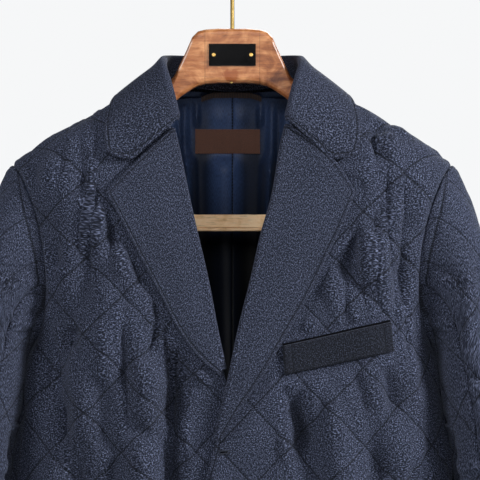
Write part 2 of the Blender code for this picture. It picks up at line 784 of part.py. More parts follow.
def bend_to_notch(start, notch, tip, row):
    """How far the top edge of a lapel is bent to pass through the notch, dying away downwards."""
    run = np.array(tip, float) - start
    notch = np.array(notch, float)
    share = ((notch - start) @ run) / (run @ run)
    offset = notch - (start + share * run)
    return offset * max(0.0, 1 - row / 2.0) / max(math.sin(share * math.pi), 0.3)


def build_lapels():
    lapel("lapel_left", LEFT_LAPEL_ROLL, LEFT_LAPEL_EDGE, LEFT_NOTCH, LEFT_FOLDS, overlap_lift,
          left_calm())
    lapel("lapel_right", RIGHT_LAPEL_ROLL, RIGHT_LAPEL_EDGE, RIGHT_NOTCH, RIGHT_FOLDS, None,
          right_calm())


# ---------------------------------------------------------------- collar

# The collar from its front end to the centre back: neck seam, fold and leaf edge, for +X
COLLAR_COLUMNS = ("neck_x", "neck_y", "neck_z", "fold_x", "fold_y", "fold_z",
                  "leaf_x", "leaf_y", "leaf_z")
COLLAR = np.array((
    (58, -42, -186, 56, -57, -187, 131, -62, -221),
    (63, -38, -170, 61, -51, -166, 133, -52, -205),
    (67, -33, -158, 66, -42, -147, 131, -34, -182),
    (74, -20, -149, 71, -28, -131, 125, -12, -166),
    (77, -2, -146, 71, -8, -124, 119, 8, -161),
    (70, 17, -147, 65, 17, -122, 108, 32, -166),
    (50, 27, -150, 50, 34, -122, 88, 50, -174),
    (28, 33, -153, 28, 43, -123, 50, 58, -179),
    (0, 35, -155, 0, 46, -124, 0, 60, -181),
), dtype=float)
COLLAR_STATIONS = 25
# The collar's ends drop along the lapels' top edges: how far at each place down the fall, and what
# share of it the stations next to the end still take
COLLAR_FALL = (0.14, 0.36, 0.58, 0.79, 1.0)
COLLAR_END_DROP = (0, 6, 14, 12, -3)
COLLAR_END_SHARES = (1.0, 0.5, 0.15)


def collar_curve(first):
    """One of the collar's three curves, from the right end round the back to the left end."""
    half = COLLAR[:, first:first + 3]
    whole = np.vstack((half * np.array((-1, 1, 1)), half[-2::-1]))
    return spline(whole, COLLAR_STATIONS)


def build_collar():
    """A folded strip round the neck: the stand inside, the fall outside, and a round fold on top."""
    neck, fold, leaf = collar_curve(0), collar_curve(3), collar_curve(6)
    stand_shares = np.array((0.0, 0.45, 0.85))
    fall_shares = np.array(COLLAR_FALL)
    end_drop = np.array(COLLAR_END_DROP)
    centre = np.array((0.0, -6.0, -140.0))
    inner = []
    for k in range(COLLAR_STATIONS):
        out = fold[k] - centre
        out[2] = 0
        out /= np.linalg.norm(out)
        up = np.array((0.0, 0.0, 1.0))
        stand = neck[k] + stand_shares[:, None] * (fold[k] - neck[k])
        crest = fold[k] + np.array((0.0, 1.8, 3.6))[:, None] * out + \
            np.array((0.6, 1.6, 0.2))[:, None] * up
        fall_start = fold[k] + 4.4 * out - 2.0 * up
        fall = fall_start + fall_shares[:, None] * (leaf[k] - fall_start)
        fall = fall + (np.sin(fall_shares * math.pi) * 2.0)[:, None] * (out + up) / 2
        from_end = min(k, COLLAR_STATIONS - 1 - k)
        if from_end < len(COLLAR_END_SHARES):
            fall = fall - COLLAR_END_SHARES[from_end] * end_drop[:, None] * up
        line = np.vstack((stand, crest, fall))
        inner.append(line)
    inner = np.array(inner)
    across = np.gradient(inner, axis=1)
    along = np.gradient(inner, axis=0)
    normal = np.cross(along, across)
    normal /= np.linalg.norm(normal, axis=2, keepdims=True)
    if normal[COLLAR_STATIONS // 2, -1, 1] < 0:
        normal = -normal
    outer = inner + normal * COLLAR_WALL
    grid_wall("collar", inner, outer, wool_plain)


# ---------------------------------------------------------------- sleeves

def sleeve(name, down):
    return column(SLEEVE, SLEEVE_COLUMNS, "down", name, down)


def sleeve_height(turn, down):
    """The height in the flat of a point on the sleeve."""
    outer, inner = sleeve("outer_z", down), sleeve("inner_z", down)
    return (outer + inner) / 2 + (outer - inner) / 2 * np.cos(turn)


def sleeve_ring(turn, down):
    """A point of the sleeve: turn 0 is its outer line, pi its inner line, the front between."""
    middle_x = (sleeve("outer_x", down) + sleeve("inner_x", down)) / 2
    reach_x = (sleeve("outer_x", down) - sleeve("inner_x", down)) / 2
    x = middle_x + reach_x * np.cos(turn)
    y = -sleeve("half_depth", down) * np.sin(turn) - sleeve("forward", down)
    seam = armhole(turn)
    seam_y = np.where(np.sin(turn) >= 0, hang(flatten(seam, -1), -1)[:, 1], hang(flatten(seam, 1), 1)[:, 1])
    shift = SEAM_GAP + ARMHOLE_CREASE * np.abs(np.sin(turn))
    shift = shift + UNDERARM_STANDS_OFF * smooth_step((0.2 - np.cos(turn)) / 1.1)
    blend = smooth_step(down / 0.2)
    return np.stack((
        (1 - blend) * (seam[:, 0] + shift) + blend * x,
        (1 - blend) * seam_y + blend * y,
        (1 - blend) * seam[:, 1] + blend * sleeve_height(turn, down)), axis=1)


def sleeve_girth(down):
    reach_x = (sleeve("outer_x", down) - sleeve("inner_x", down)) / 2
    reach_z = (sleeve("outer_z", down) - sleeve("inner_z", down)) / 2
    return 4 * quarter_length(np.hypot(reach_x, reach_z), sleeve("half_depth", down))


def sleeve_place(flat, centre):
    """Flat (round from the centre's turn, height) to space on the left sleeve."""
    low, high = np.zeros(len(flat)), np.ones(len(flat))
    for _ in range(24):
        middle = (low + high) / 2
        turn = centre + 2 * math.pi * flat[:, 0] / sleeve_girth(middle)
        above = sleeve_height(turn, middle) > flat[:, 1]
        low = np.where(above, middle, low)
        high = np.where(above, high, middle)
    middle = (low + high) / 2
    return sleeve_ring(centre + 2 * math.pi * flat[:, 0] / sleeve_girth(middle), middle)


def sleeve_surface(centre, sign):
    """A sleeve's hung shape. The centre is the turn of the panel's middle line."""
    mirror = np.array((sign, 1, 1))

    def surface(flat):
        step = 0.8
        sideways, upwards = np.array((step, 0.0)), np.array((0.0, step))
        here = sleeve_place(flat, centre)
        across = sleeve_place(flat + sideways, centre) - sleeve_place(flat - sideways, centre)
        down = sleeve_place(flat - upwards, centre) - sleeve_place(flat + upwards, centre)
        normal = np.cross(across, down)
        normal /= np.linalg.norm(normal, axis=1, keepdims=True)
        push = folds(flat, SLEEVE_FOLDS if centre == 0 else UNDER_FOLDS)
        return (here + normal * push[:, None]) * mirror, normal * mirror
    return surface


def sleeve_line(turns, downs, centre, step_in=0.0):
    """A line on the sleeve in the flat, given by its turns and how far down it lies."""
    around = (turns - centre) / (2 * math.pi) * sleeve_girth(downs) + step_in
    return np.stack((around, sleeve_height(turns, downs)), axis=1)


def sleeve_outline(centre, half_turn, head_count):
    """A sleeve panel in the flat: its head at the armhole, one seam, the cuff and the other seam."""
    gap = SEAM_GAP / 2
    downs = np.linspace(0, 1, SLEEVE_SEAM_STEPS)
    head = sleeve_line(np.linspace(centre - half_turn, centre + half_turn, head_count),
                       np.zeros(head_count), centre)
    cuff = sleeve_line(np.linspace(centre + half_turn, centre - half_turn, 11), np.ones(11), centre)
    ones = np.ones(SLEEVE_SEAM_STEPS)
    after = sleeve_line((centre + half_turn) * ones, downs, centre, -gap)
    before = sleeve_line((centre - half_turn) * ones, downs, centre, gap)
    return np.vstack((head[1:-1], after, cuff[1:-1], before[::-1]))


def build_sleeves():
    top = sleeve_outline(0.0, SLEEVE_SEAM_TURN, 2 * SEAM_STEPS + 1)
    under = sleeve_outline(math.pi, math.pi - SLEEVE_SEAM_TURN, 2 * (ARMHOLE_STEPS - SEAM_STEPS) + 1)
    for side, sign in (("left", 1), ("right", -1)):
        panel("sleeve_%s_top" % side, top, sleeve_surface(0.0, sign), wool, QUILT_WALL,
              SLEEVE_TOP_QUILT, 3, SLEEVE_PUFF)
        panel("sleeve_%s_under" % side, under, sleeve_surface(math.pi, sign), wool, QUILT_WALL,
              SLEEVE_UNDER_QUILT, 2, SLEEVE_PUFF)


# ---------------------------------------------------------------- lining, label and loop

def lining_off(flat):
    """How far the lining hangs in front of the back: sewn close at the neck and free below."""
    near, far = LINING_HANGS_OFF
    off = near + (far - near) * smooth_step((LINING_TOP - flat[:, 1]) / 70)
    pleats = np.zeros(len(flat))
    for pleat in LINING_PLEATS:
        pleats = np.maximum(pleats, np.exp(-((flat[:, 0] - pleat) / PLEAT_WIDTH) ** 2))
    clear = keep_flat(np.array(LABEL, float), 5.0)(flat) * keep_flat(np.array(LOOP, float), 5.0)(flat)
    return off + PLEAT_DEPTH * pleats * clear


def inside_back(flat, off):
    here, normal = with_normals(lambda p: hang(p, 1), flat, 1.0, -1)
    return here - normal * off[:, None]


def build_lining():
    across = np.arange(-100, 101, 20.0)
    for pleat in LINING_PLEATS:
        across = across[np.abs(across - pleat) > 9]
        across = np.concatenate((across, pleat + PLEAT_WIDTH * np.array((-1.5, 0, 1.5))))
    across = np.sort(across)
    heights = np.linspace(LINING_TOP, LINING_BOTTOM, LINING_ROWS)
    grid = np.stack(np.meshgrid(across, heights), axis=2).reshape(-1, 2)
    off = lining_off(grid)
    shape = (LINING_ROWS, len(across), 3)
    grid_wall("lining_back", inside_back(grid, off).reshape(shape),
              inside_back(grid, off + LINING_WALL).reshape(shape), satin)


def build_on_lining(name, corners, finish):
    """A flat strip that lies on the lining."""
    width = int(abs(corners[1][0] - corners[0][0]) / STRIP_STATION) + 1
    across = np.linspace(corners[0][0], corners[1][0], width)
    heights = np.linspace(corners[0][1], corners[2][1], 3)
    grid = np.stack(np.meshgrid(across, heights), axis=2).reshape(-1, 2)
    off = lining_off(grid) + LINING_WALL + LAYER_GAP
    shape = (3, width, 3)
    grid_wall(name, inside_back(grid, off).reshape(shape),
              inside_back(grid, off + LABEL_WALL).reshape(shape), finish)


# ---------------------------------------------------------------- hanger

def wood(name, across):
    return column(WOOD, WOOD_COLUMNS, "across", name, across)


def loft(name, rings, finish):
    """A closed body through rings that have the same number of points."""
    rings = np.asarray(rings, float)
    count, around = rings.shape[:2]
    faces = []
    for r in range(count - 1):
        for k in range(around):
            a, b = r * around + k, r * around + (k + 1) % around
            faces.append((a, b, b + around, a + around))
    faces.append(tuple(range(around))[::-1])
    faces.append(tuple(range((count - 1) * around, count * around)))
    return add_mesh(name, rings.reshape(-1, 3), faces, finish)


def wood_ring(across, sign):
    """The wood's section: a rectangle with round corners."""
    place = np.array([float(across)])
    top, bottom = float(wood("top", place)[0]), float(wood("bottom", place)[0])
    half = float(wood("half_thickness", place)[0])
    forward = float(wood("forward", place)[0])
    corner = min(WOOD_ROUND + 6 * float(smooth_step((across - 50) / 30)), half * 0.75,
                 (top - bottom) * 0.45)
    ring = []
    for turn_start, y_side, z in ((0, 1, top), (90, -1, top), (180, -1, bottom), (270, 1, bottom)):
        for turn in (0, 30, 60, 90):
            angle = math.radians(turn_start + turn)
            y = y_side * (half - corner) + corner * math.cos(angle)
            inward = -corner if z == top else corner
            ring.append((sign * across, y - forward, z + inward + corner * math.sin(angle)))
    return ring


def build_wood():
    head = np.linspace(-HEAD_HALF, HEAD_HALF, 5)
    made = loft("hanger_head", [wood_ring(abs(x), 1 if x >= 0 else -1) for x in head], stained_wood)
    drill_for_hook(made)
    stations = WOOD[:, 0][WOOD[:, 0] > HEAD_HALF]
    stations = np.concatenate(([HEAD_HALF + SEAM_GAP], stations))
    for side, sign in (("left", 1), ("right", -1)):
        loft("hanger_arm_%s" % side, [wood_ring(x, sign) for x in stations], stained_wood)
        inner, outer = POST_INSIDE, POST_INSIDE + POST_WIDTH
        rings = []
        for x in (inner, outer):
            top = float(wood("bottom", np.array([x]))[0]) - SEAM_GAP
            rings.append([(sign * x, y - BAR_FORWARD, z) for y, z in (
                (-POST_HALF_DEPTH, POST_BOTTOM), (POST_HALF_DEPTH, POST_BOTTOM),
                (POST_HALF_DEPTH, top), (-POST_HALF_DEPTH, top))])
        loft("bar_post_%s" % side, rings, stained_wood)
    rings = [[(x, y - BAR_FORWARD, BAR_CENTRE + z) for y, z in BAR_SECTION]
             for x in (-BAR_HALF_LENGTH, BAR_HALF_LENGTH)]
    loft("trouser_bar", rings, pale_wood)


def drill_for_hook(head):
    """The hole that the hook's stem stands in."""
    bpy.ops.mesh.primitive_cylinder_add(vertices=20, radius=(HOOK_WIRE + SEAM_GAP) * MM,
                                        depth=2 * HOOK_SUNK * MM, location=(0, 0, HEAD_TOP * MM))
    cutter = bpy.context.object
    cutter.name = "hook_drill"
    cutter.hide_render = True
    cutter.display_type = "WIRE"
    for collection in list(cutter.users_collection):
        collection.objects.unlink(cutter)
    cutters.objects.link(cutter)
    cut_hole = head.modifiers.new("hook hole", "BOOLEAN")
    cut_hole.operation = "DIFFERENCE"
    cut_hole.object = cutter


def build_plate():
    face = -HEAD_HALF_DEPTH - SEAM_GAP
    bpy.ops.mesh.primitive_cube_add(size=1, location=(0, (face - PLATE_WALL / 2) * MM, PLATE_CENTRE * MM))
    plate = adopt("plate", black_gloss)
    plate.scale = (PLATE_WIDTH * MM, PLATE_WALL * MM, PLATE_HEIGHT * MM)
    bpy.ops.object.transform_apply(location=False, rotation=False, scale=True)
    bevel = plate.modifiers.new("soft edge", "BEVEL")
    bevel.width = 0.3 * MM
    bevel.segments = 1
    for side, sign in (("left", 1), ("right", -1)):
        place = (sign * SCREW_SPREAD * MM, (face - PLATE_WALL - SEAM_GAP - SCREW_WALL / 2) * MM,
                 PLATE_CENTRE * MM)
        bpy.ops.mesh.primitive_cone_add(vertices=16, radius1=SCREW_RADIUS * MM, location=place,
                                        radius2=0.7 * SCREW_RADIUS * MM, depth=SCREW_WALL * MM,
                                        rotation=(math.pi / 2, 0, 0))
        adopt("plate_screw_%s" % side, brass)


def adopt(name, finish):
    """Names the newest primitive, moves it to the part's collection and gives it its material."""
    made = bpy.context.object
    made.name = name
    for collection in list(made.users_collection):
        collection.objects.unlink(made)
    parts.objects.link(made)
    made.data.materials.append(finish)
    return made


def build_hook():
    """A round wire: a straight stem, a bend to the side and a loop over the rail."""
    radius = HOOK_INSIDE + HOOK_WIRE
    centre = -HOOK_INSIDE
    loop = [(radius * math.cos(t), centre + radius * math.sin(t))
            for t in np.radians(np.linspace(-50, 205, 24))]
    stem = [(0.0, HEAD_TOP - HOOK_SUNK + 1.0), (0.0, HEAD_TOP), (0.0, -74.0), (0.0, HOOK_STEM_TOP),
            (2.2, HOOK_STEM_TOP + 7), (7.6, HOOK_STEM_TOP + 13.2)]
    line = bpy.data.curves.new("hook", "CURVE")
    line.dimensions = "3D"
    line.bevel_depth = HOOK_WIRE * MM
    line.bevel_resolution = 2
    line.use_fill_caps = True
    wire = line.splines.new("POLY")
    points = stem + loop
    wire.points.add(len(points) - 1)
    for point, (x, z) in zip(wire.points, points):
        point.co = (x * MM, 0, z * MM, 1)
    hook = bpy.data.objects.new("hook", line)
    line.materials.append(brass)
    parts.objects.link(hook)


def build_buttons():
    for number, height in enumerate(BUTTON_HEIGHTS, 1):
        flat = np.array(((BUTTON_ACROSS, height),))
        here, _ = body_surface(-1, LEFT_FOLDS, overlap_lift, left_calm())(flat)
        depth = -here[0, 1] + QUILT_WALL + 0.9 + BUTTON_WALL / 2
        place = (BUTTON_ACROSS * MM, -depth * MM, height * MM)
        bpy.ops.mesh.primitive_cylinder_add(vertices=20, radius=BUTTON_RADIUS * MM, location=place,
                                            depth=BUTTON_WALL * MM, rotation=(math.pi / 2, 0, 0))
        button = adopt("button_%d" % number, horn)
        bevel = button.modifiers.new("round rim", "BEVEL")
        bevel.width = 0.9 * MM
        bevel.segments = 1
        bevel.limit_method = "ANGLE"


clear_scene()
parts = new_collection("quilted_blazer_on_hanger")
cutters = new_collection("cutters")
wool = material("quilted_wool", NAVY, 0.9)
wool_plain = material("plain_wool", NAVY, 0.9)
satin = material("lining_satin", NAVY_LINING, 0.4)
brown_tape = material("brown_tape", BROWN_TAPE, 0.8)
stained_wood = material("stained_wood", WOOD_COLOUR, 0.4)
pale_wood = material("pale_wood", BAR_COLOUR, 0.5)
brass = material("brass", BRASS, 0.3, 1.0)
black_gloss = material("black_gloss", BLACK, 0.15)
horn = material("horn", HORN, 0.4)
build_fronts()
build_back()
build_welt()
build_lapels()
build_collar()
build_sleeves()
build_lining()
build_on_lining("label", LABEL, brown_tape)
build_on_lining("hanging_loop", LOOP, brown_tape)
build_wood()
build_plate()
build_hook()
build_buttons()
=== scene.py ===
# %% [markdown]
# # A quilted blazer on a wooden hanger
# The real thing is a wool flannel blazer whose body and sleeves are padded and sewn in diamonds, while
# the collar, the lapels and the pocket's welt are plain. It hangs on a shaped hardwood hanger. The
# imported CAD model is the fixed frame: every piece here is laid on the same curves, only much finer.

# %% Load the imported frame
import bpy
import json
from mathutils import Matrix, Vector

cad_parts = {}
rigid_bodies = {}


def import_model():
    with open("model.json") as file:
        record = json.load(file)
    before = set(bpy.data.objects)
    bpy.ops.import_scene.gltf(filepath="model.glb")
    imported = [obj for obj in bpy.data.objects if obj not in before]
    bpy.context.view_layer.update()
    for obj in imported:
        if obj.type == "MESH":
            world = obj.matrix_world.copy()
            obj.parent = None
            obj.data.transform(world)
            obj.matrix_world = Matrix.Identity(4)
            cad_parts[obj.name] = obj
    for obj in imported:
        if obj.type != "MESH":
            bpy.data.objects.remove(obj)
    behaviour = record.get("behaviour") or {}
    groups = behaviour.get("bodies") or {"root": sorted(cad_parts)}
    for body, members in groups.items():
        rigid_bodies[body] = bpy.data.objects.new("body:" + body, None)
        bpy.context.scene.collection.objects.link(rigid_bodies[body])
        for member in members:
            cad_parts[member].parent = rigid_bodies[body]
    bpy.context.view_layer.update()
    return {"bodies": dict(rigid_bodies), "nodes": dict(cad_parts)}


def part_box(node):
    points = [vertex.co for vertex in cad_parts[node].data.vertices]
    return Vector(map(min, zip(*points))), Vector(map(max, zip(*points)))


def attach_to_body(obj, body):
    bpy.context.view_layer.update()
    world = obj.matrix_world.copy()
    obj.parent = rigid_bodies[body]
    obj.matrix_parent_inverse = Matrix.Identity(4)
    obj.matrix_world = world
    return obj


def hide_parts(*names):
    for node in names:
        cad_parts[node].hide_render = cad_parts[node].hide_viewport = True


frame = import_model()

import json
import math

import bmesh
import bpy
import numpy as np

MM = 0.001
BODY_NAME = next(iter(frame["bodies"]))
print("frame:", len(frame["nodes"]), "nodes on body", BODY_NAME)

# %% [markdown]
# ## Small curves
# All shapes come from short tables of measurements. A table could be joined by straight lines, but
# cloth has no corners, so a smooth curve runs through the rows. Two more helpers space points evenly
# along a line and measure the distance to a line.

# %% Curves through tables
def smooth_step(value):
    """3v^2 - 2v^3 between 0 and 1: a ramp with level ends."""
    value = np.clip(value, 0.0, 1.0)
    return value * value * (3 - 2 * value)


def through(places, xs, ys):
    """A cubic Hermite curve through (xs, ys) whose slopes are those of the neighbouring points. Each
    of the ys may be a row of values."""
    places = np.clip(places, xs[0], xs[-1])
    slopes = np.gradient(ys, xs, axis=0)
    cell = np.clip(np.searchsorted(xs, places) - 1, 0, len(xs) - 2)
    shape = np.shape(places) + (1,) * (np.ndim(ys) - 1)
    width = np.reshape(xs[cell + 1] - xs[cell], shape)
    t = np.reshape(places - xs[cell], shape) / width
    start = (1 + 2 * t) * (1 - t) ** 2 * ys[cell] + t * (1 - t) ** 2 * width * slopes[cell]
    end = t * t * (3 - 2 * t) * ys[cell + 1] - t * t * (1 - t) * width * slopes[cell + 1]
    return start + end


def run_lengths(points):
    """How far along a line of straight runs each of its points lies."""
    return np.concatenate(([0], np.cumsum(np.linalg.norm(np.diff(points, axis=0), axis=1))))


def spline(points, shares):
    """Points on a smooth curve through the given ones, at shares of the whole length."""
    points = np.asarray(points, float)
    along = run_lengths(points)
    return through(shares * along[-1], along, points)


def polyline(points, shares):
    """Points on straight runs between the given ones, at shares of the whole length."""
    points = np.asarray(points, float)
    along = run_lengths(points)
    return np.stack([np.interp(shares * along[-1], along, points[:, k])
                     for k in range(points.shape[1])], axis=1)


def distance_to_line(points, line):
    """Each point's distance to a polyline, and how far along it the nearest place lies."""
    best = np.full(points.shape[:-1], np.inf)
    where = np.zeros(points.shape[:-1])
    passed = 0.0
    for a, b in zip(line[:-1], line[1:]):
        run = b - a
        length = max(float(np.linalg.norm(run)), 1e-9)
        t = np.clip((points - a) @ run / length ** 2, 0, 1)
        away = np.linalg.norm(points - (a + t[..., None] * run), axis=-1)
        where = np.where(away < best, passed + t * length, where)
        best = np.minimum(best, away)
        passed += length
    return best, where


def inside(points, outline):
    """Whether each point lies in a closed outline: an odd number of sides pass to its right."""
    x, y = points[..., 0], points[..., 1]
    found = np.zeros(points.shape[:-1], bool)
    for (ax, ay), (bx, by) in zip(outline, np.roll(outline, -1, axis=0)):
        crosses = (ay > y) != (by > y)
        rise = by - ay if by != ay else 1e-9
        found ^= crosses & (x < (bx - ax) * (y - ay) / rise + ax)
    return found


def quarter_length(a, b):
    """The length of a quarter of an ellipse with half axes a and b, by Ramanujan's sum."""
    return math.pi / 4 * (3 * (a + b) - np.sqrt((3 * a + b) * (a + 3 * b)))


def rounded(away, reach):
    """How much of a wall stands at a distance from its rim: sqrt(1 - (1 - t)^2) with t = distance /
    reach, a quarter circle. It starts a little way up, so that the rim keeps some thickness."""
    t = np.clip(away / reach, 0.08, 1)
    return np.sqrt(1 - (1 - t) ** 2)


def dense_ends(length, step, fine=(0, 0.5, 1.2, 2.1, 3.0, 4.0, 5.2, 7.0, 9.5)):
    """Shares from 0 to 1 that lie close together near both ends, where an edge is turned and sewn."""
    fine = np.array(fine)
    middle = np.linspace(fine[-1], length - fine[-1], max(2, round((length - 2 * fine[-1]) / step)))
    return np.concatenate((fine[:-1], middle, (length - fine[:-1])[::-1])) / length


print("curve helpers ready")

# %% [markdown]
# ## The hung body
# A jacket on a hanger is a soft box: the cloth runs straight across the front, turns round the side and
# rolls over the shoulder. Modelling it by hand with a sculpting tool would give a good lump, but no
# pattern pieces. Here the cloth is cut flat and then hung, as a tailor does: a flat point (across,
# height) is carried to space by quarter ellipses at the side and over the shoulder.

# %% Tables of the body
BODY_COLUMNS = ("height", "half_width", "front_depth", "back_depth")
BODY = np.array((
    (-870, 250, 62, 60), (-700, 242, 68, 58), (-556, 229, 74, 58), (-494, 220, 76, 61),
    (-447, 212, 75, 64), (-415, 204, 74, 65), (-380, 206, 71, 65), (-330, 215, 66, 62),
    (-280, 229, 61, 57), (-236, 246, 54, 52), (-150, 252, 43, 42), (-100, 252, 36, 36)), float)
SHOULDER = np.array(((0, -116), (40, -126), (75, -143), (120, -169), (160, -191), (200, -214),
                     (228, -236), (250, -256)), float)
SHOULDER_DROP = 56.0
SHOULDER_ROUND = 86.0
SIDE_ROUND = 0.36
NECK_POINT = 82.0
SHOULDER_TIP = 228.0
UNDERARM = -415.0
BACK_NECK = -156.0
HEM = -866.0
HEM_CORNER = 55.0
ARMHOLE_BITE = 20.0
QUILT_WALL = 2.6
LAYER_GAP = 1.4


def body(name, height):
    return through(height, BODY[:, 0], BODY[:, BODY_COLUMNS.index(name)])


def shoulder_line(across):
    return through(across, SHOULDER[:, 0], SHOULDER[:, 1])


def side_length(height, depth):
    return quarter_length(SIDE_ROUND * body("half_width", height), depth)


def hang(flat, side):
    """Flat to space. Past the start of the side the cloth follows a quarter ellipse towards y = 0, and
    above the drop of the shoulder another one, up to the shoulder line. side is -1 for the front."""
    across, height = np.abs(flat[..., 0]), flat[..., 1]
    depth_name = "front_depth" if side < 0 else "back_depth"
    x, z = across.copy(), height.copy()
    for _ in range(8):
        half_width = body("half_width", z)
        depth = body(depth_name, z)
        start = half_width * (1 - SIDE_ROUND)
        turn = np.clip((across - start) / side_length(z, depth), 0, 1) * math.pi / 2
        x = np.where(across > start, start + half_width * SIDE_ROUND * np.sin(turn), across)
        below = shoulder_line(x) + SHOULDER_ROUND - SHOULDER_DROP - height
        dip = np.clip(below / SHOULDER_ROUND, 0, 1) * math.pi / 2
        drop = np.where(below < SHOULDER_ROUND, SHOULDER_DROP * (1 - np.cos(dip)),
                        below - SHOULDER_ROUND + SHOULDER_DROP)
        z = shoulder_line(x) - drop
    y = side * body(depth_name, z) * np.cos(turn) * np.sin(dip)
    return np.stack((np.sign(flat[..., 0]) * x, y, z), axis=-1)


def flatten(seen, side):
    """The flat coordinates of points as seen from the front: the way back through the ellipses."""
    seen = np.asarray(seen, float)
    x, z = np.abs(seen[..., 0]), seen[..., 1]
    half_width = body("half_width", z)
    depth = body("front_depth" if side < 0 else "back_depth", z)
    start = half_width * (1 - SIDE_ROUND)
    turn = np.arcsin(np.clip((x - start) / (half_width * SIDE_ROUND), 0, 1))
    across = np.where(x > start, start + side_length(z, depth) * turn / (math.pi / 2), x)
    drop = shoulder_line(x) - z
    dip = np.arccos(np.clip(1 - drop / SHOULDER_DROP, 0, 1))
    rolled = shoulder_line(x) + SHOULDER_ROUND - SHOULDER_DROP - SHOULDER_ROUND * dip / (math.pi / 2)
    height = np.where(drop < SHOULDER_DROP, rolled, z)
    return np.stack((np.sign(seen[..., 0]) * across, height), axis=-1)


print("body: %d rows, %d to %d mm" % (len(BODY), BODY[0, 0], BODY[-1, 0]))

# %% [markdown]
# ## Folds and quilting
# A fold of heavy cloth is a soft trough with a rounder ridge beside it, and it fades out at both ends.
# A cloth simulation would put folds where it likes, but these have to lie where the real ones do, so
# each is one row of a table. The quilting is a product of two sine waves that cross: it is zero on
# the sewn lines and swells between them.

# %% Folds and quilting
DIAMOND_WIDTH = 76.0
DIAMOND_HEIGHT = 81.0
FOLD_GAIN = 2.3
RIDGE_SHARE = 0.42


def folds(flat, table):
    """Sum of troughs: depth times exp(-(distance from the run / half width)^2), with a lower ridge of
    the same form 1.8 half widths out on both sides, fading out at the ends."""
    push = np.zeros(flat.shape[:-1])
    for from_x, from_z, to_x, to_z, half_width, depth in table:
        start = np.array((from_x, from_z))
        run = np.array((to_x - from_x, to_z - from_z))
        length = np.linalg.norm(run)
        along = (flat - start) @ run / length
        aside = (flat - start) @ np.array((-run[1], run[0])) / length
        ends = smooth_step(along / (0.35 * length)) * smooth_step((length - along) / (0.35 * length))
        ridge = np.exp(-((np.abs(aside) / half_width - 1.8) / 0.8) ** 2)
        trough = np.exp(-(aside / half_width) ** 2)
        push -= FOLD_GAIN * depth * (trough - RIDGE_SHARE * ridge) * ends
    return push


def diamonds(flat, phase):
    """Diamond coordinates: both grow by 1 from one sewn line to the next."""
    a = (flat[..., 0] - phase[0]) / DIAMOND_WIDTH
    h = (flat[..., 1] - phase[1]) / DIAMOND_HEIGHT
    return np.stack((a + h, a - h), axis=-1)


def swell(lines, sharp=0.5):
    """(|sin pi a| |sin pi b|) to a power: 0 on the sewn lines, 1 in the middle of a diamond."""
    return (np.abs(np.sin(math.pi * lines[..., 0])) * np.abs(np.sin(math.pi * lines[..., 1]))) ** sharp


def ripple(flat, size, seed):
    """Even, smooth unevenness between -1 and 1: a sum of sine waves in random directions."""
    chance = np.random.default_rng(seed)
    total = np.zeros(flat.shape[:-1])
    for _ in range(12):
        turn = chance.uniform(0, 2 * math.pi)
        length = size * chance.uniform(0.7, 1.5)
        total += np.sin((flat[..., 0] * math.cos(turn) + flat[..., 1] * math.sin(turn))
                        * 2 * math.pi / length + chance.uniform(0, 2 * math.pi))
    return total / 3.5


def drapes(flat, seed, low=0.5, high=3.6, length=17.0):
    """Upright soft ripples: a sine across the cloth whose phase and height wander slowly with two
    even unevennesses, so that no two ripples are alike."""
    tall = flat * (1, 0.36)
    wander = 1.6 * ripple(tall, 130.0, seed) + 0.5 * ripple(tall, 48.0, seed + 1)
    turns = flat[..., 0] * 2 * math.pi / length + 2.2 * wander
    wave = np.sin(turns) + 0.42 * np.sin(1.9 * turns + 1.6 * wander)
    strong = smooth_step(0.5 + 0.8 * ripple(tall, 60.0, seed + 2))
    return wave * (low + (high - low) * strong)


print("quilting diamonds %.0f x %.0f mm" % (DIAMOND_WIDTH, DIAMOND_HEIGHT))

# %% [markdown]
# ## From a grid of points to a piece of cloth
# Every piece is two grids of points, the cloth's face and its back, joined round the rim. The Solidify
# modifier could thicken one grid, but then the back would swell with the quilting too, while the real
# lining side lies flat. The pieces carry their flat pattern as UV maps, so that the weave follows the
# cloth, with two more maps for the quilting lines and for the distance from a sewn edge.

# %% Meshes from grids
def grid_normals(points):
    """Unit vectors square to a grid: the cross product of its two central differences."""
    normal = np.cross(np.gradient(points, axis=1), np.gradient(points, axis=0))
    return normal / np.maximum(np.linalg.norm(normal, axis=-1, keepdims=True), 1e-12)


def rim_of(grid):
    """The rim of a grid of points or of vertex numbers, once round."""
    return np.concatenate((grid[0, :-1], grid[:-1, -1], grid[-1, :0:-1], grid[:0:-1, 0]))


def quads_of(corner):
    return np.stack((corner[:-1, :-1], corner[:-1, 1:], corner[1:, 1:], corner[1:, :-1]),
                    axis=-1).reshape(-1, 4)


def ring_quads(rings, sides):
    """The quads between rings of vertex numbers, each ring closed on itself."""
    corner = np.arange(rings * sides).reshape(rings, sides)
    return quads_of(np.concatenate((corner, corner[:, :1]), axis=1))


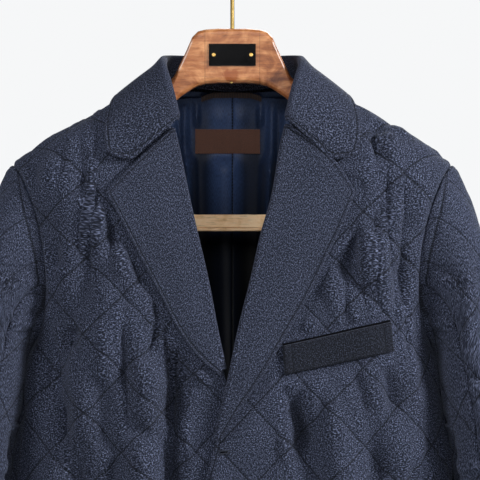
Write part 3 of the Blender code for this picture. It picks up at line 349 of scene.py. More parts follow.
def mesh_from(name, points, quads, finish, maps=None, smooth_angle=50, merged=False):
    """A mesh from whole arrays. If its signed volume is below 0, every face is turned round. Points
    that lie together, as at a pole, are merged where that is asked for."""
    p = points[quads]
    volume = np.einsum("ij,ij->", p[:, 0], np.cross(p[:, 1], p[:, 2]) + np.cross(p[:, 2], p[:, 3]))
    if volume < 0:
        quads = quads[:, ::-1]
    mesh = bpy.data.meshes.new(name)
    mesh.from_pydata((points * MM).tolist(), [], quads.tolist())
    for map_name, values in (maps or {}).items():
        layer = mesh.uv_layers.new(name=map_name)
        layer.uv.foreach_set("vector", values[quads.ravel()].astype(np.float32).ravel())
    mesh.materials.append(finish)
    if merged:
        soft = bmesh.new()
        soft.from_mesh(mesh)
        bmesh.ops.remove_doubles(soft, verts=soft.verts, dist=1e-6)
        soft.to_mesh(mesh)
        soft.free()
    mesh.shade_smooth()
    mesh.set_sharp_from_angle(angle=math.radians(smooth_angle))
    piece = bpy.data.objects.new(name, mesh)
    bpy.context.scene.collection.objects.link(piece)
    return piece


def wall(name, inner, outer, finish, maps, replaced, backing=None):
    """A closed piece of cloth between two grids; it rides on the body and stands for its nodes. A
    backing, such as a lining, is a second finish for the inner grid."""
    rows, columns = inner.shape[:2]
    corner = np.arange(rows * columns).reshape(rows, columns)
    ring = rim_of(corner)
    after = np.roll(ring, -1)
    count = rows * columns
    sides = np.stack((after, ring, ring + count, after + count), axis=-1)
    quads = np.concatenate((quads_of(corner)[:, ::-1], quads_of(corner + count), sides[:, ::-1]))
    points = np.concatenate((inner.reshape(-1, 3), outer.reshape(-1, 3)))
    doubled = {key: np.tile(value.reshape(-1, 2), (2, 1)) for key, value in maps.items()}
    piece = mesh_from(name, points, quads, finish, doubled)
    if backing is not None:
        piece.data.materials.append(backing)
        lined = np.zeros(len(quads), np.int32)
        lined[:(rows - 1) * (columns - 1)] = 1
        piece.data.polygons.foreach_set("material_index", lined)
    return attach(piece, replaced)


def attach(piece, replaced=()):
    """Hangs the piece on the body that carries it and hides the nodes that it stands for."""
    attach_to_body(piece, BODY_NAME)
    if replaced:
        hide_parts(*replaced)
    print("%s: %d faces" % (piece.name, len(piece.data.polygons)))
    return piece


def tube(path, radii, sides=10):
    """Rings of the given radii square to a path, as points and quads. A radius of 0 closes an end."""
    path = np.asarray(path, float)
    along = np.gradient(path, axis=0)
    along /= np.linalg.norm(along, axis=1, keepdims=True)
    helper = np.where(np.abs(along[:, 1:2]) < 0.8, (0.0, 1.0, 0.0), (1.0, 0.0, 0.0))
    first = np.cross(along, helper)
    first /= np.linalg.norm(first, axis=1, keepdims=True)
    second = np.cross(along, first)
    turn = np.arange(sides) * 2 * math.pi / sides
    ring = np.cos(turn)[:, None] * first[:, None] + np.sin(turn)[:, None] * second[:, None]
    points = path[:, None] + np.asarray(radii, float)[:, None, None] * ring
    return points.reshape(-1, 3), ring_quads(len(path), sides)


def joined(parts):
    """Several (points, quads) pairs as one."""
    shift = np.cumsum([0] + [len(points) for points, _ in parts[:-1]])
    return (np.concatenate([points for points, _ in parts]),
            np.concatenate([quads + k for (_, quads), k in zip(parts, shift)]))


def flat_area(rim):
    """The area inside a closed outline, by the shoelace sum."""
    x, y = rim[:, 0], rim[:, 1]
    return abs(np.sum(x * np.roll(y, -1) - y * np.roll(x, -1))) / 2


def declare(piece, rim):
    """Works out the box and the area of a flat outline, in metres, and passes them on to nothing."""
    size = (rim.max(0) - rim.min(0)) * MM
    area = min(flat_area(rim) * MM * MM, size[0] * size[1])


print("mesh helpers ready")

# %% [markdown]
# ## Colours and materials
# Colours are written as the sRGB hex values that a paint chart gives, and Blender needs them linear, so
# one function turns them. One more function adds a node with its settings and links, which keeps every
# material below short enough to read as a recipe.

# %% Colour and node helpers
def linear(hex_code):
    """sRGB hex to linear: ((c + 0.055) / 1.055)^2.4 above the toe, c / 12.92 in it."""
    value = np.array([int(hex_code[k:k + 2], 16) for k in (1, 3, 5)]) / 255
    value = np.where(value > 0.04045, ((value + 0.055) / 1.055) ** 2.4, value / 12.92)
    return (*value.tolist(), 1.0)


def new_material(name):
    made = bpy.data.materials.new(name)
    made.use_nodes = True
    return made, made.node_tree, made.node_tree.nodes["Principled BSDF"]


def feed(tree, node, inputs):
    """Gives a node's inputs their values, or links them to the outputs that feed them."""
    for key, value in inputs.items():
        if isinstance(value, bpy.types.NodeSocket):
            tree.links.new(value, node.inputs[key])
        else:
            node.inputs[key].default_value = value


def add(tree, kind, inputs=None, stops=(), **settings):
    """Adds a node: settings are its own options, inputs are values or the outputs that feed it, and
    stops are the (place, colour) pairs of a colour ramp."""
    node = tree.nodes.new(kind)
    for key, value in settings.items():
        setattr(node, key, value)
    feed(tree, node, inputs or {})
    for k, (place, colour) in enumerate(stops):
        element = node.color_ramp.elements[k] if k < 2 else node.color_ramp.elements.new(place)
        element.position = place
        element.color = colour
    return node


print("material helpers ready")

# %% [markdown]
# ## Wool flannel
# Melange flannel is spun from navy, grey and pale fibres that were mixed before spinning, then milled
# until the twill nearly vanishes under a soft nap. The eye gets three things from it: fine flecks, a
# faint diagonal twill and a pale bloom at grazing angles, which is what sheen is for. The real threads
# are 0.4 mm apart, which is finer than a pixel here. An image of the cloth would blur at that size too,
# so the flecks are drawn by noise, 1 to 2.3 mm wide. The stitches of the rows are in the recipe too.

# %% The wool, quilted and plain
WOOL_DARK = "#060810"
WOOL_MID = "#1a1f2e"
WOOL_PALE = "#6c7490"
STITCH_DARK = "#0b0e16"
THREAD_SHOWS = 0.9
FLECKS_PER_M = 950.0
TWILL_PER_M = 1000.0
SEAM_SINKS = 0.05
PUCKERS_PER_DIAMOND = 9.0
PUCKER_REACH = 0.11
LINE_SPACING = 1 / math.hypot(1 / DIAMOND_WIDTH, 1 / DIAMOND_HEIGHT)
DIAMOND_SIDE = math.hypot(DIAMOND_WIDTH, DIAMOND_HEIGHT) / 2
STITCH_LENGTH = 3.2
THREAD = 0.45
EDGE_STITCH = 4.0


def sewn_lines(tree, across, along, place, unit, side):
    """1 on the stitches of a row: near the place across it, and on seven tenths of each stitch."""
    away = add(tree, "ShaderNodeMath", {0: across, 1: place}, operation="SUBTRACT").outputs[0]
    away = add(tree, "ShaderNodeMath", {0: away}, operation="ABSOLUTE").outputs[0]
    on_line = add(tree, "ShaderNodeMapRange", {"Value": away, "From Min": 2.2 * THREAD / unit,
                                               "From Max": THREAD / unit, "To Min": 0.0,
                                               "To Max": 1.0}).outputs["Result"]
    part = add(tree, "ShaderNodeMath", {0: along, 1: side / STITCH_LENGTH}, operation="MULTIPLY")
    part = add(tree, "ShaderNodeMath", {0: part.outputs[0]}, operation="FRACT").outputs[0]
    dash = add(tree, "ShaderNodeMath", {0: part, 1: 0.72}, operation="LESS_THAN").outputs[0]
    dash = add(tree, "ShaderNodeMapRange", {"Value": dash, "To Min": 0.45, "To Max": 1.0})
    return add(tree, "ShaderNodeMath", {0: on_line, 1: dash.outputs["Result"]},
               operation="MULTIPLY").outputs[0]


def sewn_edge_row(tree, inset):
    """The row of stitches that runs beside a sewn edge, by the edge map."""
    edge = add(tree, "ShaderNodeUVMap", uv_map="edge").outputs["UV"]
    edge = add(tree, "ShaderNodeSeparateXYZ", {0: edge})
    return sewn_lines(tree, edge.outputs[0], edge.outputs[1], inset * MM, 1 / MM, 1 / MM)


def wool_material(name, quilted, tone):
    made, tree, shader = new_material(name)
    cloth = add(tree, "ShaderNodeUVMap", uv_map="cloth").outputs["UV"]
    fleck = add(tree, "ShaderNodeTexNoise", {"Vector": cloth, "Scale": FLECKS_PER_M, "Detail": 1.0,
                                             "Roughness": 0.5}).outputs["Fac"]
    coarse = add(tree, "ShaderNodeTexNoise", {"Vector": cloth, "Scale": FLECKS_PER_M / 2.2,
                                              "Detail": 3.0, "Roughness": 0.8}).outputs["Fac"]
    cloud = add(tree, "ShaderNodeTexNoise", {"Vector": cloth, "Scale": 16.0, "Detail": 3.0,
                                             "Roughness": 0.5}).outputs["Fac"]
    turned = add(tree, "ShaderNodeMapping", {"Vector": cloth, "Rotation": (0, 0, math.radians(58)),
                                             "Scale": (1.0, 0.55, 1.0)}).outputs["Vector"]
    twill = add(tree, "ShaderNodeTexNoise", {"Vector": turned, "Scale": TWILL_PER_M, "Detail": 1.0,
                                             "Roughness": 0.5}).outputs["Fac"]
    mixed = add(tree, "ShaderNodeMix", {0: 0.3, 2: fleck, 3: coarse}).outputs[0]
    mixed = add(tree, "ShaderNodeMix", {0: 0.3, 2: mixed, 3: twill}).outputs[0]
    colour = add(tree, "ShaderNodeValToRGB", {"Fac": mixed}, stops=(
        (0.38, linear(WOOL_DARK)), (0.65, linear(WOOL_PALE)), (0.50, linear(WOOL_MID)))).outputs["Color"]
    shade = add(tree, "ShaderNodeMapRange", {"Value": cloud, "To Min": 0.8 * tone,
                                             "To Max": 1.2 * tone})
    colour = add(tree, "ShaderNodeVectorMath", {0: colour, "Scale": shade.outputs["Result"]},
                 operation="SCALE").outputs["Vector"]
    sewn = sewn_edge_row(tree, EDGE_STITCH)
    height = add(tree, "ShaderNodeMath", {0: mixed, 1: 0.45}, operation="MULTIPLY").outputs[0]
    if quilted:
        lines = add(tree, "ShaderNodeUVMap", uv_map="quilt").outputs["UV"]
        near = add(tree, "ShaderNodeVectorMath", {0: lines, 1: (0.5, 0.5, 0.5)}, operation="ADD")
        near = add(tree, "ShaderNodeVectorMath", {0: near.outputs[0]}, operation="FRACTION")
        near = add(tree, "ShaderNodeSeparateXYZ", {0: near.outputs[0]})
        split = add(tree, "ShaderNodeSeparateXYZ", {0: lines})
        for k in (0, 1):
            row = sewn_lines(tree, near.outputs[k], split.outputs[1 - k], 0.5, LINE_SPACING,
                             DIAMOND_SIDE)
            sewn = add(tree, "ShaderNodeMath", {0: sewn, 1: row}, operation="MAXIMUM").outputs[0]
            # the thread draws the cloth into small creases square to the row
            stretch = (1.5, PUCKERS_PER_DIAMOND, 1.0) if k == 0 else (PUCKERS_PER_DIAMOND, 1.5, 1.0)
            drawn = add(tree, "ShaderNodeMapping", {"Vector": lines, "Scale": stretch})
            crease = add(tree, "ShaderNodeTexNoise", {"Vector": drawn.outputs[0], "Scale": 1.0,
                                                      "Detail": 1.0}).outputs["Fac"]
            away = add(tree, "ShaderNodeMath", {0: near.outputs[k], 1: 0.5}, operation="SUBTRACT")
            away = add(tree, "ShaderNodeMath", {0: away.outputs[0]}, operation="ABSOLUTE").outputs[0]
            close = add(tree, "ShaderNodeMapRange", {"Value": away, "From Min": PUCKER_REACH,
                                                     "From Max": 0.0, "To Min": 0.0, "To Max": 2.4})
            height = add(tree, "ShaderNodeMath", {0: crease, 1: close.outputs["Result"], 2: height},
                         operation="MULTIPLY_ADD").outputs[0]
            sunk = add(tree, "ShaderNodeMapRange", {"Value": away, "From Min": 0.0,
                                                    "From Max": SEAM_SINKS, "To Min": -2.4,
                                                    "To Max": 0.0}, interpolation_type="SMOOTHSTEP")
            height = add(tree, "ShaderNodeMath", {0: height, 1: sunk.outputs["Result"]},
                         operation="ADD").outputs[0]
    shows = add(tree, "ShaderNodeMath", {0: sewn, 1: THREAD_SHOWS}, operation="MULTIPLY").outputs[0]
    colour = add(tree, "ShaderNodeMix", {0: shows, 6: colour, 7: linear(STITCH_DARK)},
                 data_type="RGBA").outputs[2]
    height = add(tree, "ShaderNodeMath", {0: sewn, 1: -0.9, 2: height},
                 operation="MULTIPLY_ADD").outputs[0]
    bump = add(tree, "ShaderNodeBump", {"Height": height, "Strength": 0.5, "Distance": 0.6 * MM})
    feed(tree, shader, {"Base Color": colour, "Normal": bump.outputs["Normal"], "Roughness": 0.92,
                        "Specular IOR Level": 0.2, "Sheen Weight": 0.12, "Sheen Roughness": 0.5,
                        "Sheen Tint": linear("#8d97ac")})
    return made


QUILTED_WOOL = wool_material("quilted melange flannel", True, 0.9)
PLAIN_WOOL = wool_material("plain melange flannel", False, 0.8)
# the welt is the same flannel as the lapels, painted much darker: painted shade
WELT_WOOL = wool_material("welt flannel with painted shade", False, 0.27)
print("wool:", QUILTED_WOOL.name, "and", PLAIN_WOOL.name)

# %% [markdown]
# ## Satin, tape and thread
# The lining is a viscose satin, whose threads float along one direction, so its colour runs in fine
# streaks. Painted shade darkens it towards the hem and in the valleys of its folds, and painted light
# brightens the ridges. A shader with a stretched highlight would give its shine too, but the lining
# hangs in shadow, where only the streaks show. The loop and the label are woven ribbon with fine ribs
# across.

# %% Lining satin, ribbon and thread
SATIN_BLUE = "#36496f"
SATIN_DARK = "#24324f"
# painted light and shade across the lining, as (place in metres, brightness): dark in the fold valleys,
# bright on the ridges; the two ends come first
SATIN_FOLD_SHADING = ((-0.062, 0.7), (0.062, 0.7), (-0.046, 0.75), (-0.037, 0.22), (-0.028, 0.25),
               (-0.018, 1.15), (0.004, 1.15), (0.013, 0.28), (0.026, 0.2), (0.036, 0.75),
               (0.048, 0.35))
SATIN_REACH = 0.08
SEAM_STITCH = 1.2
RIBBON_BROWN = "#3a241c"
RIBS_PER_M = 700.0


def satin_material():
    made, tree, shader = new_material("viscose satin")
    cloth = add(tree, "ShaderNodeUVMap", uv_map="cloth").outputs["UV"]
    drawn = add(tree, "ShaderNodeMapping", {"Vector": cloth, "Scale": (1600.0, 300.0, 1.0)})
    floats = add(tree, "ShaderNodeTexNoise", {"Vector": drawn.outputs[0], "Scale": 1.0, "Detail": 2.0})
    colour = add(tree, "ShaderNodeValToRGB", {"Fac": floats.outputs["Fac"]},
                 stops=((0.3, linear(SATIN_DARK)), (0.7, linear(SATIN_BLUE)))).outputs["Color"]
    sewn = sewn_edge_row(tree, SEAM_STITCH)
    colour = add(tree, "ShaderNodeMix", {0: sewn, 6: colour, 7: linear("#080b14")},
                 data_type="RGBA").outputs[2]
    # painted shade: the lining is painted darker towards the hem, from about the trouser bar down, where the
    # inside of the jacket lies in shadow
    place = add(tree, "ShaderNodeTexCoord").outputs["Object"]
    across, _, height = add(tree, "ShaderNodeSeparateXYZ", {0: place}).outputs
    hem_shade = add(tree, "ShaderNodeMapRange", {"Value": height, "From Min": -0.315, "From Max": -0.25,
                                             "To Min": 0.06, "To Max": 1.1}).outputs["Result"]
    # painted shade in the fold valleys and painted light on the ridges, across the lining, weaker near the
    # neck
    share = add(tree, "ShaderNodeMapRange", {"Value": across, "From Min": -SATIN_REACH,
                                             "From Max": SATIN_REACH, "To Min": 0.0,
                                             "To Max": 1.0}).outputs["Result"]
    stops = [(0.5 + x / (2 * SATIN_REACH), (tone, tone, tone, 1.0)) for x, tone in SATIN_FOLD_SHADING]
    fold_shading = add(tree, "ShaderNodeValToRGB", {"Fac": share}, stops=stops).outputs["Color"]
    low = add(tree, "ShaderNodeMapRange", {"Value": height, "From Min": -0.165, "From Max": -0.215,
                                           "To Min": 0.45, "To Max": 1.0}).outputs["Result"]
    white = (1.0, 1.0, 1.0, 1.0)
    fold_shading = add(tree, "ShaderNodeMix", {0: low, 6: white, 7: fold_shading}, data_type="RGBA").outputs[2]
    colour = add(tree, "ShaderNodeVectorMath", {0: colour, 1: fold_shading}, operation="MULTIPLY").outputs[0]
    colour = add(tree, "ShaderNodeVectorMath", {0: colour, "Scale": hem_shade},
                 operation="SCALE").outputs["Vector"]
    bump = add(tree, "ShaderNodeBump", {"Height": floats.outputs["Fac"], "Strength": 0.1,
                                        "Distance": 0.15 * MM})
    feed(tree, shader, {"Base Color": colour, "Normal": bump.outputs["Normal"], "Roughness": 0.5,
                        "Specular IOR Level": 0.18, "Sheen Weight": 0.03})
    return made


def ribbon_material(name, brown, ribs):
    made, tree, shader = new_material(name)
    cloth = add(tree, "ShaderNodeUVMap", uv_map="cloth").outputs["UV"]
    turned = add(tree, "ShaderNodeMapping", {"Vector": cloth, "Scale": (ribs, ribs * 0.8, 1.0)})
    weave = add(tree, "ShaderNodeTexWave", {"Vector": turned.outputs[0], "Scale": 0.16,
                                            "Distortion": 1.5, "Detail": 1.0}).outputs["Fac"]
    grain = add(tree, "ShaderNodeTexNoise", {"Vector": cloth, "Scale": ribs, "Detail": 2.0})
    mixed = add(tree, "ShaderNodeMath", {0: weave, 1: grain.outputs["Fac"]}, operation="MULTIPLY")
    colour = add(tree, "ShaderNodeValToRGB", {"Fac": mixed.outputs[0]},
                 stops=((0.1, linear("#1f1310")), (0.6, linear(brown)))).outputs["Color"]
    bump = add(tree, "ShaderNodeBump", {"Height": mixed.outputs[0], "Strength": 0.5,
                                        "Distance": 0.3 * MM})
    feed(tree, shader, {"Base Color": colour, "Normal": bump.outputs["Normal"], "Roughness": 0.75,
                        "Sheen Weight": 0.2})
    return made


LINING_SATIN = satin_material()
# the pocket's mouth and the buttonhole's slit are black strips of painted shade on the cloth
SLIT_SHADE, mouth_tree, mouth_shader = new_material("black painted slit shade")
feed(mouth_tree, mouth_shader, {"Base Color": linear("#04050a"), "Roughness": 0.95,
                                "Specular IOR Level": 0.1})
LOOP_RIBBON = ribbon_material("grosgrain ribbon", RIBBON_BROWN, RIBS_PER_M)
LABEL_WEAVE = ribbon_material("damask label ribbon", "#8c5842", RIBS_PER_M * 3.0)
print("satin and ribbons ready")

# %% [markdown]
# ## The fronts
# Each front is one quilted panel between four edges: shoulder, armhole with side seam, hem, and the
# front edge with the roll line above it. A Coons patch fills four edges with a grid in one formula. A
# triangulated outline would also fit, but a grid can be refined near its edges, where they are sewn.

# %% Edges of a panel
def patch(top, bottom, left, right, u, v):
    """Coons patch: the two ruled surfaces between opposite edges, less the one through the corners.
    top and bottom are given at the shares u, left and right at the shares v."""
    u, v = u[None, :, None], v[:, None, None]
    ruled = (1 - v) * top[None] + v * bottom[None]
    across = (1 - u) * left[:, None] + u * right[:, None]
    corners = (1 - u) * (1 - v) * top[0] + u * (1 - v) * top[-1] + (1 - u) * v * bottom[0] + \
        u * v * bottom[-1]
    return ruled + across - corners


def armhole(turn):
    """The armhole from the front: half an ellipse from the shoulder tip (0) to the underarm (pi),
    bitten in by a power of the sine."""
    top = float(shoulder_line(np.array(SHOULDER_TIP)))
    half_x = (SHOULDER_TIP - float(body("half_width", np.array(float(UNDERARM))))) / 2
    half_z = (top - UNDERARM) / 2
    bite = ARMHOLE_BITE * np.abs(np.sin(turn)) ** 1.4
    return np.stack((SHOULDER_TIP - half_x + half_x * np.cos(turn) - bite,
                     top - half_z + half_z * np.cos(turn)), axis=-1)


ARMHOLE_TRIM = 0.8
SEAM = 0.25


def outer_edge(side):
    """Armhole and side seam in the flat, from the shoulder tip down to the hem, for the left half."""
    flat = flatten(armhole(np.linspace(0, math.pi, 60)), side)
    along = np.gradient(flat, axis=0)
    inward = np.stack((along[:, 1], -along[:, 0]), axis=1)
    flat = flat + ARMHOLE_TRIM * inward / np.linalg.norm(inward, axis=1, keepdims=True)
    heights = np.linspace(UNDERARM - ARMHOLE_TRIM, HEM, 60)[1:]
    depth = body("front_depth" if side < 0 else "back_depth", heights)
    seam = body("half_width", heights) * (1 - SIDE_ROUND) + side_length(heights, depth) - SEAM
    return np.vstack((flat, np.stack((seam, heights), axis=1)))


def shoulder_edge(shares):
    across = NECK_POINT + (SHOULDER_TIP - ARMHOLE_TRIM - NECK_POINT) * shares
    flat = flatten(np.stack((across, shoulder_line(across)), axis=1), -1)
    flat[:, 1] -= SEAM
    return flat


print("armhole from %.0f to %.0f mm" % (armhole(np.array(0.0))[1], UNDERARM))

# %% The front edges, roll lines and calm places
LEFT_ROLL = ((64, -170), (57, -203), (43, -270), (34, -301), (22, -353), (9, -405), (-3, -462))
LEFT_EDGE = ((-9, -490), (-17, -520), (-28, -561), (-30, -620), (-30, -700), (-30, -790))
RIGHT_ROLL = ((-66, -170), (-62, -203), (-47, -270), (-40, -301), (-28, -353), (-18, -405), (-7, -455))
RIGHT_EDGE = ((6, -490), (20, -525), (28, -561), (28, -620), (28, -700), (28, -790))
OVERLAP_LIFT = 5.6
LEFT_LAPEL_ROLL = ((58, -191), (54, -208), (43, -270), (34, -301), (22, -353), (9, -405), (-3, -462),
                   (-10, -492), (-17, -520))
LEFT_LAPEL_EDGE = ((128, -262), (113, -299), (98, -330), (80, -369), (65, -395), (47, -426),
                   (30, -455), (5, -492), (-11, -519))
LEFT_NOTCH = (106, -228)
RIGHT_LAPEL_ROLL = ((-63, -195), (-60, -208), (-47, -270), (-40, -301), (-28, -353), (-18, -405),
                    (-9, -446))
RIGHT_LAPEL_EDGE = ((-132, -262), (-115, -293), (-100, -322), (-74, -371), (-51, -413),
                    (-32, -436), (-13, -452))
RIGHT_NOTCH = (-102, -232)
WELT = ((52, -421.5), (163, -396), (166, -427), (54, -451.5))
BUTTON_HEIGHTS = (-645.0, -752.0)
BUTTON_ACROSS = -11.0
LEFT_QUILT = (136, -363)
RIGHT_QUILT = (-190, -450)
BACK_QUILT = (0, -242)
QUILT_PUFF = 3.2
SEAM_CALM = 18.0
DRAPE_REACH = 46.0


def keep_flat(outline, margin, clear=6.0):
    """A measure that is 0 in and near an outline and rises to 1 over a soft border."""
    outline = np.asarray(outline, float)

    def measure(flat):
        away, _ = distance_to_line(flat, np.vstack((outline, outline[:1])))
        return smooth_step((np.where(inside(flat, outline), 0.0, away) - clear) / margin)
    return measure


def beside_seam(line):
    """A measure that is 0 on a sewn line, which holds the cloth still, and 1 at SEAM_CALM from it."""
    return lambda flat: smooth_step(distance_to_line(flat, line)[0] / SEAM_CALM)


def both(*measures):
    """The measures multiplied: 0 where any one of them is 0."""
    return lambda flat: np.prod([measure(flat) for measure in measures], axis=0)


LEFT_LAPEL = np.vstack((LEFT_LAPEL_ROLL, LEFT_LAPEL_EDGE[::-1])).astype(float)
RIGHT_LAPEL = np.vstack((RIGHT_LAPEL_ROLL, RIGHT_LAPEL_EDGE[::-1])).astype(float)
WELT_SHAPE = flatten(WELT, -1)
LEFT_COLLAR = np.array(((50, -120), (60, -200), (106, -228), (133, -224), (128, -168), (95, -130)), float)
RIGHT_COLLAR = LEFT_COLLAR * np.array((-1, 1))
OVERLAP = np.array(((-36, -470), (40, -470), (40, -900), (-36, -900)), float)
left_calm = both(keep_flat(LEFT_LAPEL, 12.0), keep_flat(WELT_SHAPE, 8.0),
                 keep_flat(LEFT_COLLAR, 12.0), keep_flat(OVERLAP, 12.0))
right_calm = both(keep_flat(RIGHT_LAPEL, 12.0), keep_flat(RIGHT_COLLAR, 12.0),
                  keep_flat(OVERLAP, 12.0))


def drapes_beside(outline, seed):
    """Ripples that are strong beside a lapel, whose seam is drawn in, and weak far from it."""
    def measure(flat):
        away, _ = distance_to_line(flat, outline)
        return drapes(flat, seed) * (0.28 + 0.9 * np.exp(-(away / DRAPE_REACH) ** 2)) * \
            smooth_step((-175 - flat[..., 1]) / 40)
    return measure


left_drapes = drapes_beside(LEFT_LAPEL, 11)
right_drapes = drapes_beside(RIGHT_LAPEL, 23)
BUTTON_SPOT = np.array(((-9, -9), (9, -9), (9, 9), (-9, 9)), float)
button_spots = [keep_flat(BUTTON_SPOT + np.array((BUTTON_ACROSS, height)), 6.0)
                for height in BUTTON_HEIGHTS]
left_quilted = both(keep_flat(LEFT_LAPEL, 8.0), keep_flat(WELT_SHAPE, 6.0),
                    keep_flat(LEFT_COLLAR, 8.0), *button_spots)
right_quilted = both(keep_flat(RIGHT_LAPEL, 8.0), keep_flat(RIGHT_COLLAR, 8.0),
                     keep_flat(OVERLAP, 8.0))


def overlap_lift(flat):
    """The left front stands off where the right front lies under it."""
    return OVERLAP_LIFT * smooth_step((112 - flat[..., 0]) / 74) * smooth_step((-395 - flat[..., 1]) / 60)


print("front edges: %d points left, %d right" % (len(LEFT_EDGE), len(RIGHT_EDGE)))

# %% Folds of the fronts
# each row: where the fold starts, where it ends, its half width and its depth, in the flat
LEFT_FOLDS = np.array((
    (134, -178, 154, -245, 9, 4.0), (150, -180, 156, -204, 9, 4.0), (126, -292, 118, -358, 11, 6.0),
    (104, -300, 82, -372, 12, 5.0), (146, -300, 150, -372, 13, -4.0), (66, -392, 64, -418, 8, 4.0),
    (54, -458, 78, -540, 16, 8.0), (36, -470, 52, -545, 14, -5.0), (160, -432, 168, -500, 13, 4.5),
    (172, -322, 176, -390, 12, 4.0), (106, -470, 120, -600, 20, -5.0), (142, -500, 146, -660, 18, 5.0),
    (26, -505, 30, -560, 12, 4.0), (184, -520, 190, -760, 20, 6.0), (70, -600, 84, -800, 24, 6.0),
    (-4, -600, 4, -760, 16, 3.0), (120, -660, 132, -840, 24, -6.0),
    (30, -478, 24, -532, 6, 3.0), (90, -462, 96, -520, 7, 3.0), (130, -440, 140, -500, 8, 3.0),
    (158, -238, 150, -300, 9, 3.5), (136, -240, 132, -290, 8, 3.0), (172, -240, 178, -320, 10, 3.0)),
    float)
RIGHT_FOLDS = np.array((
    (-143, -260, -140, -280, 8, 4.0), (-128, -270, -122, -330, 9, 5.0), (-104, -318, -82, -372, 10, 6.0),
    (-86, -372, -62, -398, 9, 5.0), (-64, -412, -58, -520, 16, 9.0), (-86, -430, -88, -520, 14, -6.0),
    (-66, -500, -62, -630, 16, 8.0), (-92, -500, -94, -640, 16, -6.0), (-24, -480, -22, -545, 11, 6.0),
    (-40, -470, -38, -560, 11, -5.0), (-184, -310, -178, -345, 10, 4.0), (-190, -380, -188, -540, 16, 4.5),
    (-168, -395, -166, -430, 10, 4.0), (-176, -470, -172, -530, 11, 4.0), (-120, -330, -128, -560, 26, -5.0),
    (-198, -220, -200, -262, 9, 3.0), (-140, -560, -148, -800, 22, 6.0), (-60, -640, -70, -830, 22, 6.0),
    (-105, -640, -112, -840, 20, -6.0), (-112, -300, -96, -350, 7, 4.0),
    (-46, -404, -40, -470, 7, 4.0), (-118, -390, -112, -470, 10, 3.5), (-150, -300, -150, -400, 12, 3.0),
    (-136, -440, -130, -540, 11, 3.5), (-160, -520, -156, -640, 13, 4.0)), float)
print("folds: %d left, %d right" % (len(LEFT_FOLDS), len(RIGHT_FOLDS)))


# %% Hanging a panel
FLAT_STEP = 0.5
SEAM_FLATTENS = 6.0
QUILTED_EDGE = 1.5
PLAIN_EDGE = 2.0
# length and step of a half's grid, across and then down
FRONT_GRID = ((215.0, 2.6), (740.0, 3.6))
BACK_GRID = ((235.0, 3.6), (720.0, 3.8))


def face_of(placed, flat):
    """Places and unit normals of a surface over the flat: the cross product of its differences over
    small steps across and down the cloth. The grid's own steps run together under the arm."""
    across = placed(flat + (FLAT_STEP, 0)) - placed(flat - (FLAT_STEP, 0))
    down = placed(flat - (0, FLAT_STEP)) - placed(flat + (0, FLAT_STEP))
    normal = np.cross(across, down)
    return placed(flat), normal / np.maximum(np.linalg.norm(normal, axis=-1, keepdims=True), 1e-12)


def lay(flat, side, table, calm=None, lift=None, fine=None):
    """Hangs flat points, then pushes them out along their normals by the folds. Returns the places and
    the outward unit normals."""
    def pushed(at):
        push = folds(at, table)
        if fine is not None:
            push = push + fine(at)
        if calm is not None:
            push = push * calm(at)
        if lift is not None:
            push = push + lift(at)
        here, normal = face_of(lambda still: hang(still, side), at)
        return here + side * normal * push[..., None]
    here, normal = face_of(pushed, flat)
    return here, side * normal


def edge_map(flat, sewn_edge):
    """The edge map: how far in from a sewn edge, and how far along it, in metres."""
    if sewn_edge is None:
        return np.full(flat.shape, 1.0)
    away, along = distance_to_line(flat, np.asarray(sewn_edge, float))
    return np.stack((away, along), axis=-1) * MM


def groove(away, place=EDGE_STITCH, depth=0.55, width=1.1):
    """A row of stitches pulls the cloth in: a narrow trough at its distance from the edge."""
    return -depth * np.exp(-((away - place) / width) ** 2)


def quilted_panel(name, flat, laid, phase, quilted, node, sewn_edge=None, puff=QUILT_PUFF,
                  cloth=None):
    """A padded panel: lined and plain inside, swelling between the quilting lines outside."""
    here, normal = laid
    lines = diamonds(flat, phase)
    rim = rim_of(flat)
    away, _ = distance_to_line(flat, np.vstack((rim, rim[:1]))[::2])
    raised = puff * swell(lines) * smooth_step(away / SEAM_FLATTENS)
    if quilted is not None:
        raised = raised * quilted(flat)
    edge = edge_map(flat, sewn_edge)
    raised = raised + groove(edge[..., 0] / MM)
    stands = (QUILT_WALL + raised) * rounded(away, QUILTED_EDGE)
    maps = {"cloth": (flat if cloth is None else cloth) * MM, "quilt": lines, "edge": edge}
    piece = wall(name, here, here + normal * stands[..., None], QUILTED_WOOL, maps,
                 node, LINING_SATIN)
    declare(piece, rim)


def panel_grid(inner, side, sign, grid):
    """The flat points of a front or back half, between its inner edge and its outer one."""
    u, v = (dense_ends(length, step) for length, step in grid)
    mirror = np.array((sign, 1))
    top = shoulder_edge(u) * mirror
    left = polyline(np.vstack((top[:1], inner)), v)
    right = polyline(outer_edge(side) * mirror, v)
    bottom = left[-1] + (right[-1] - left[-1]) * u[:, None]
    return patch(top, bottom, left, right, u, v)


def build_front(name, sign, roll, front_edge, table, phase, calm, quilted, lift, drape, node):
    foot = np.array(front_edge[-1], float)
    arc = np.linspace(math.pi / 2, 0, 12)
    corner = np.stack((foot[0] + sign * HEM_CORNER * (1 - np.cos(arc[::-1])),
                       HEM + HEM_CORNER * (1 - np.sin(arc[::-1]))), axis=1)
    neck = flatten([(sign * 77, -152), (sign * 71, -161)], -1)
    rolled = flatten(spline(roll, np.linspace(0, 1, 40)), -1)
    lower = np.vstack((np.array(front_edge, float), corner[1:]))
    flat = panel_grid(np.vstack((neck, rolled, lower)), -1, sign, FRONT_GRID)
    laid = lay(flat, -1, table, both(calm, beside_seam(flat[:, -1])), lift, drape)
    sewn = np.vstack((lower, flat[-1, ::4], flat[-1, -1:]))
    quilted_panel(name, flat, laid, phase, quilted, node, sewn)


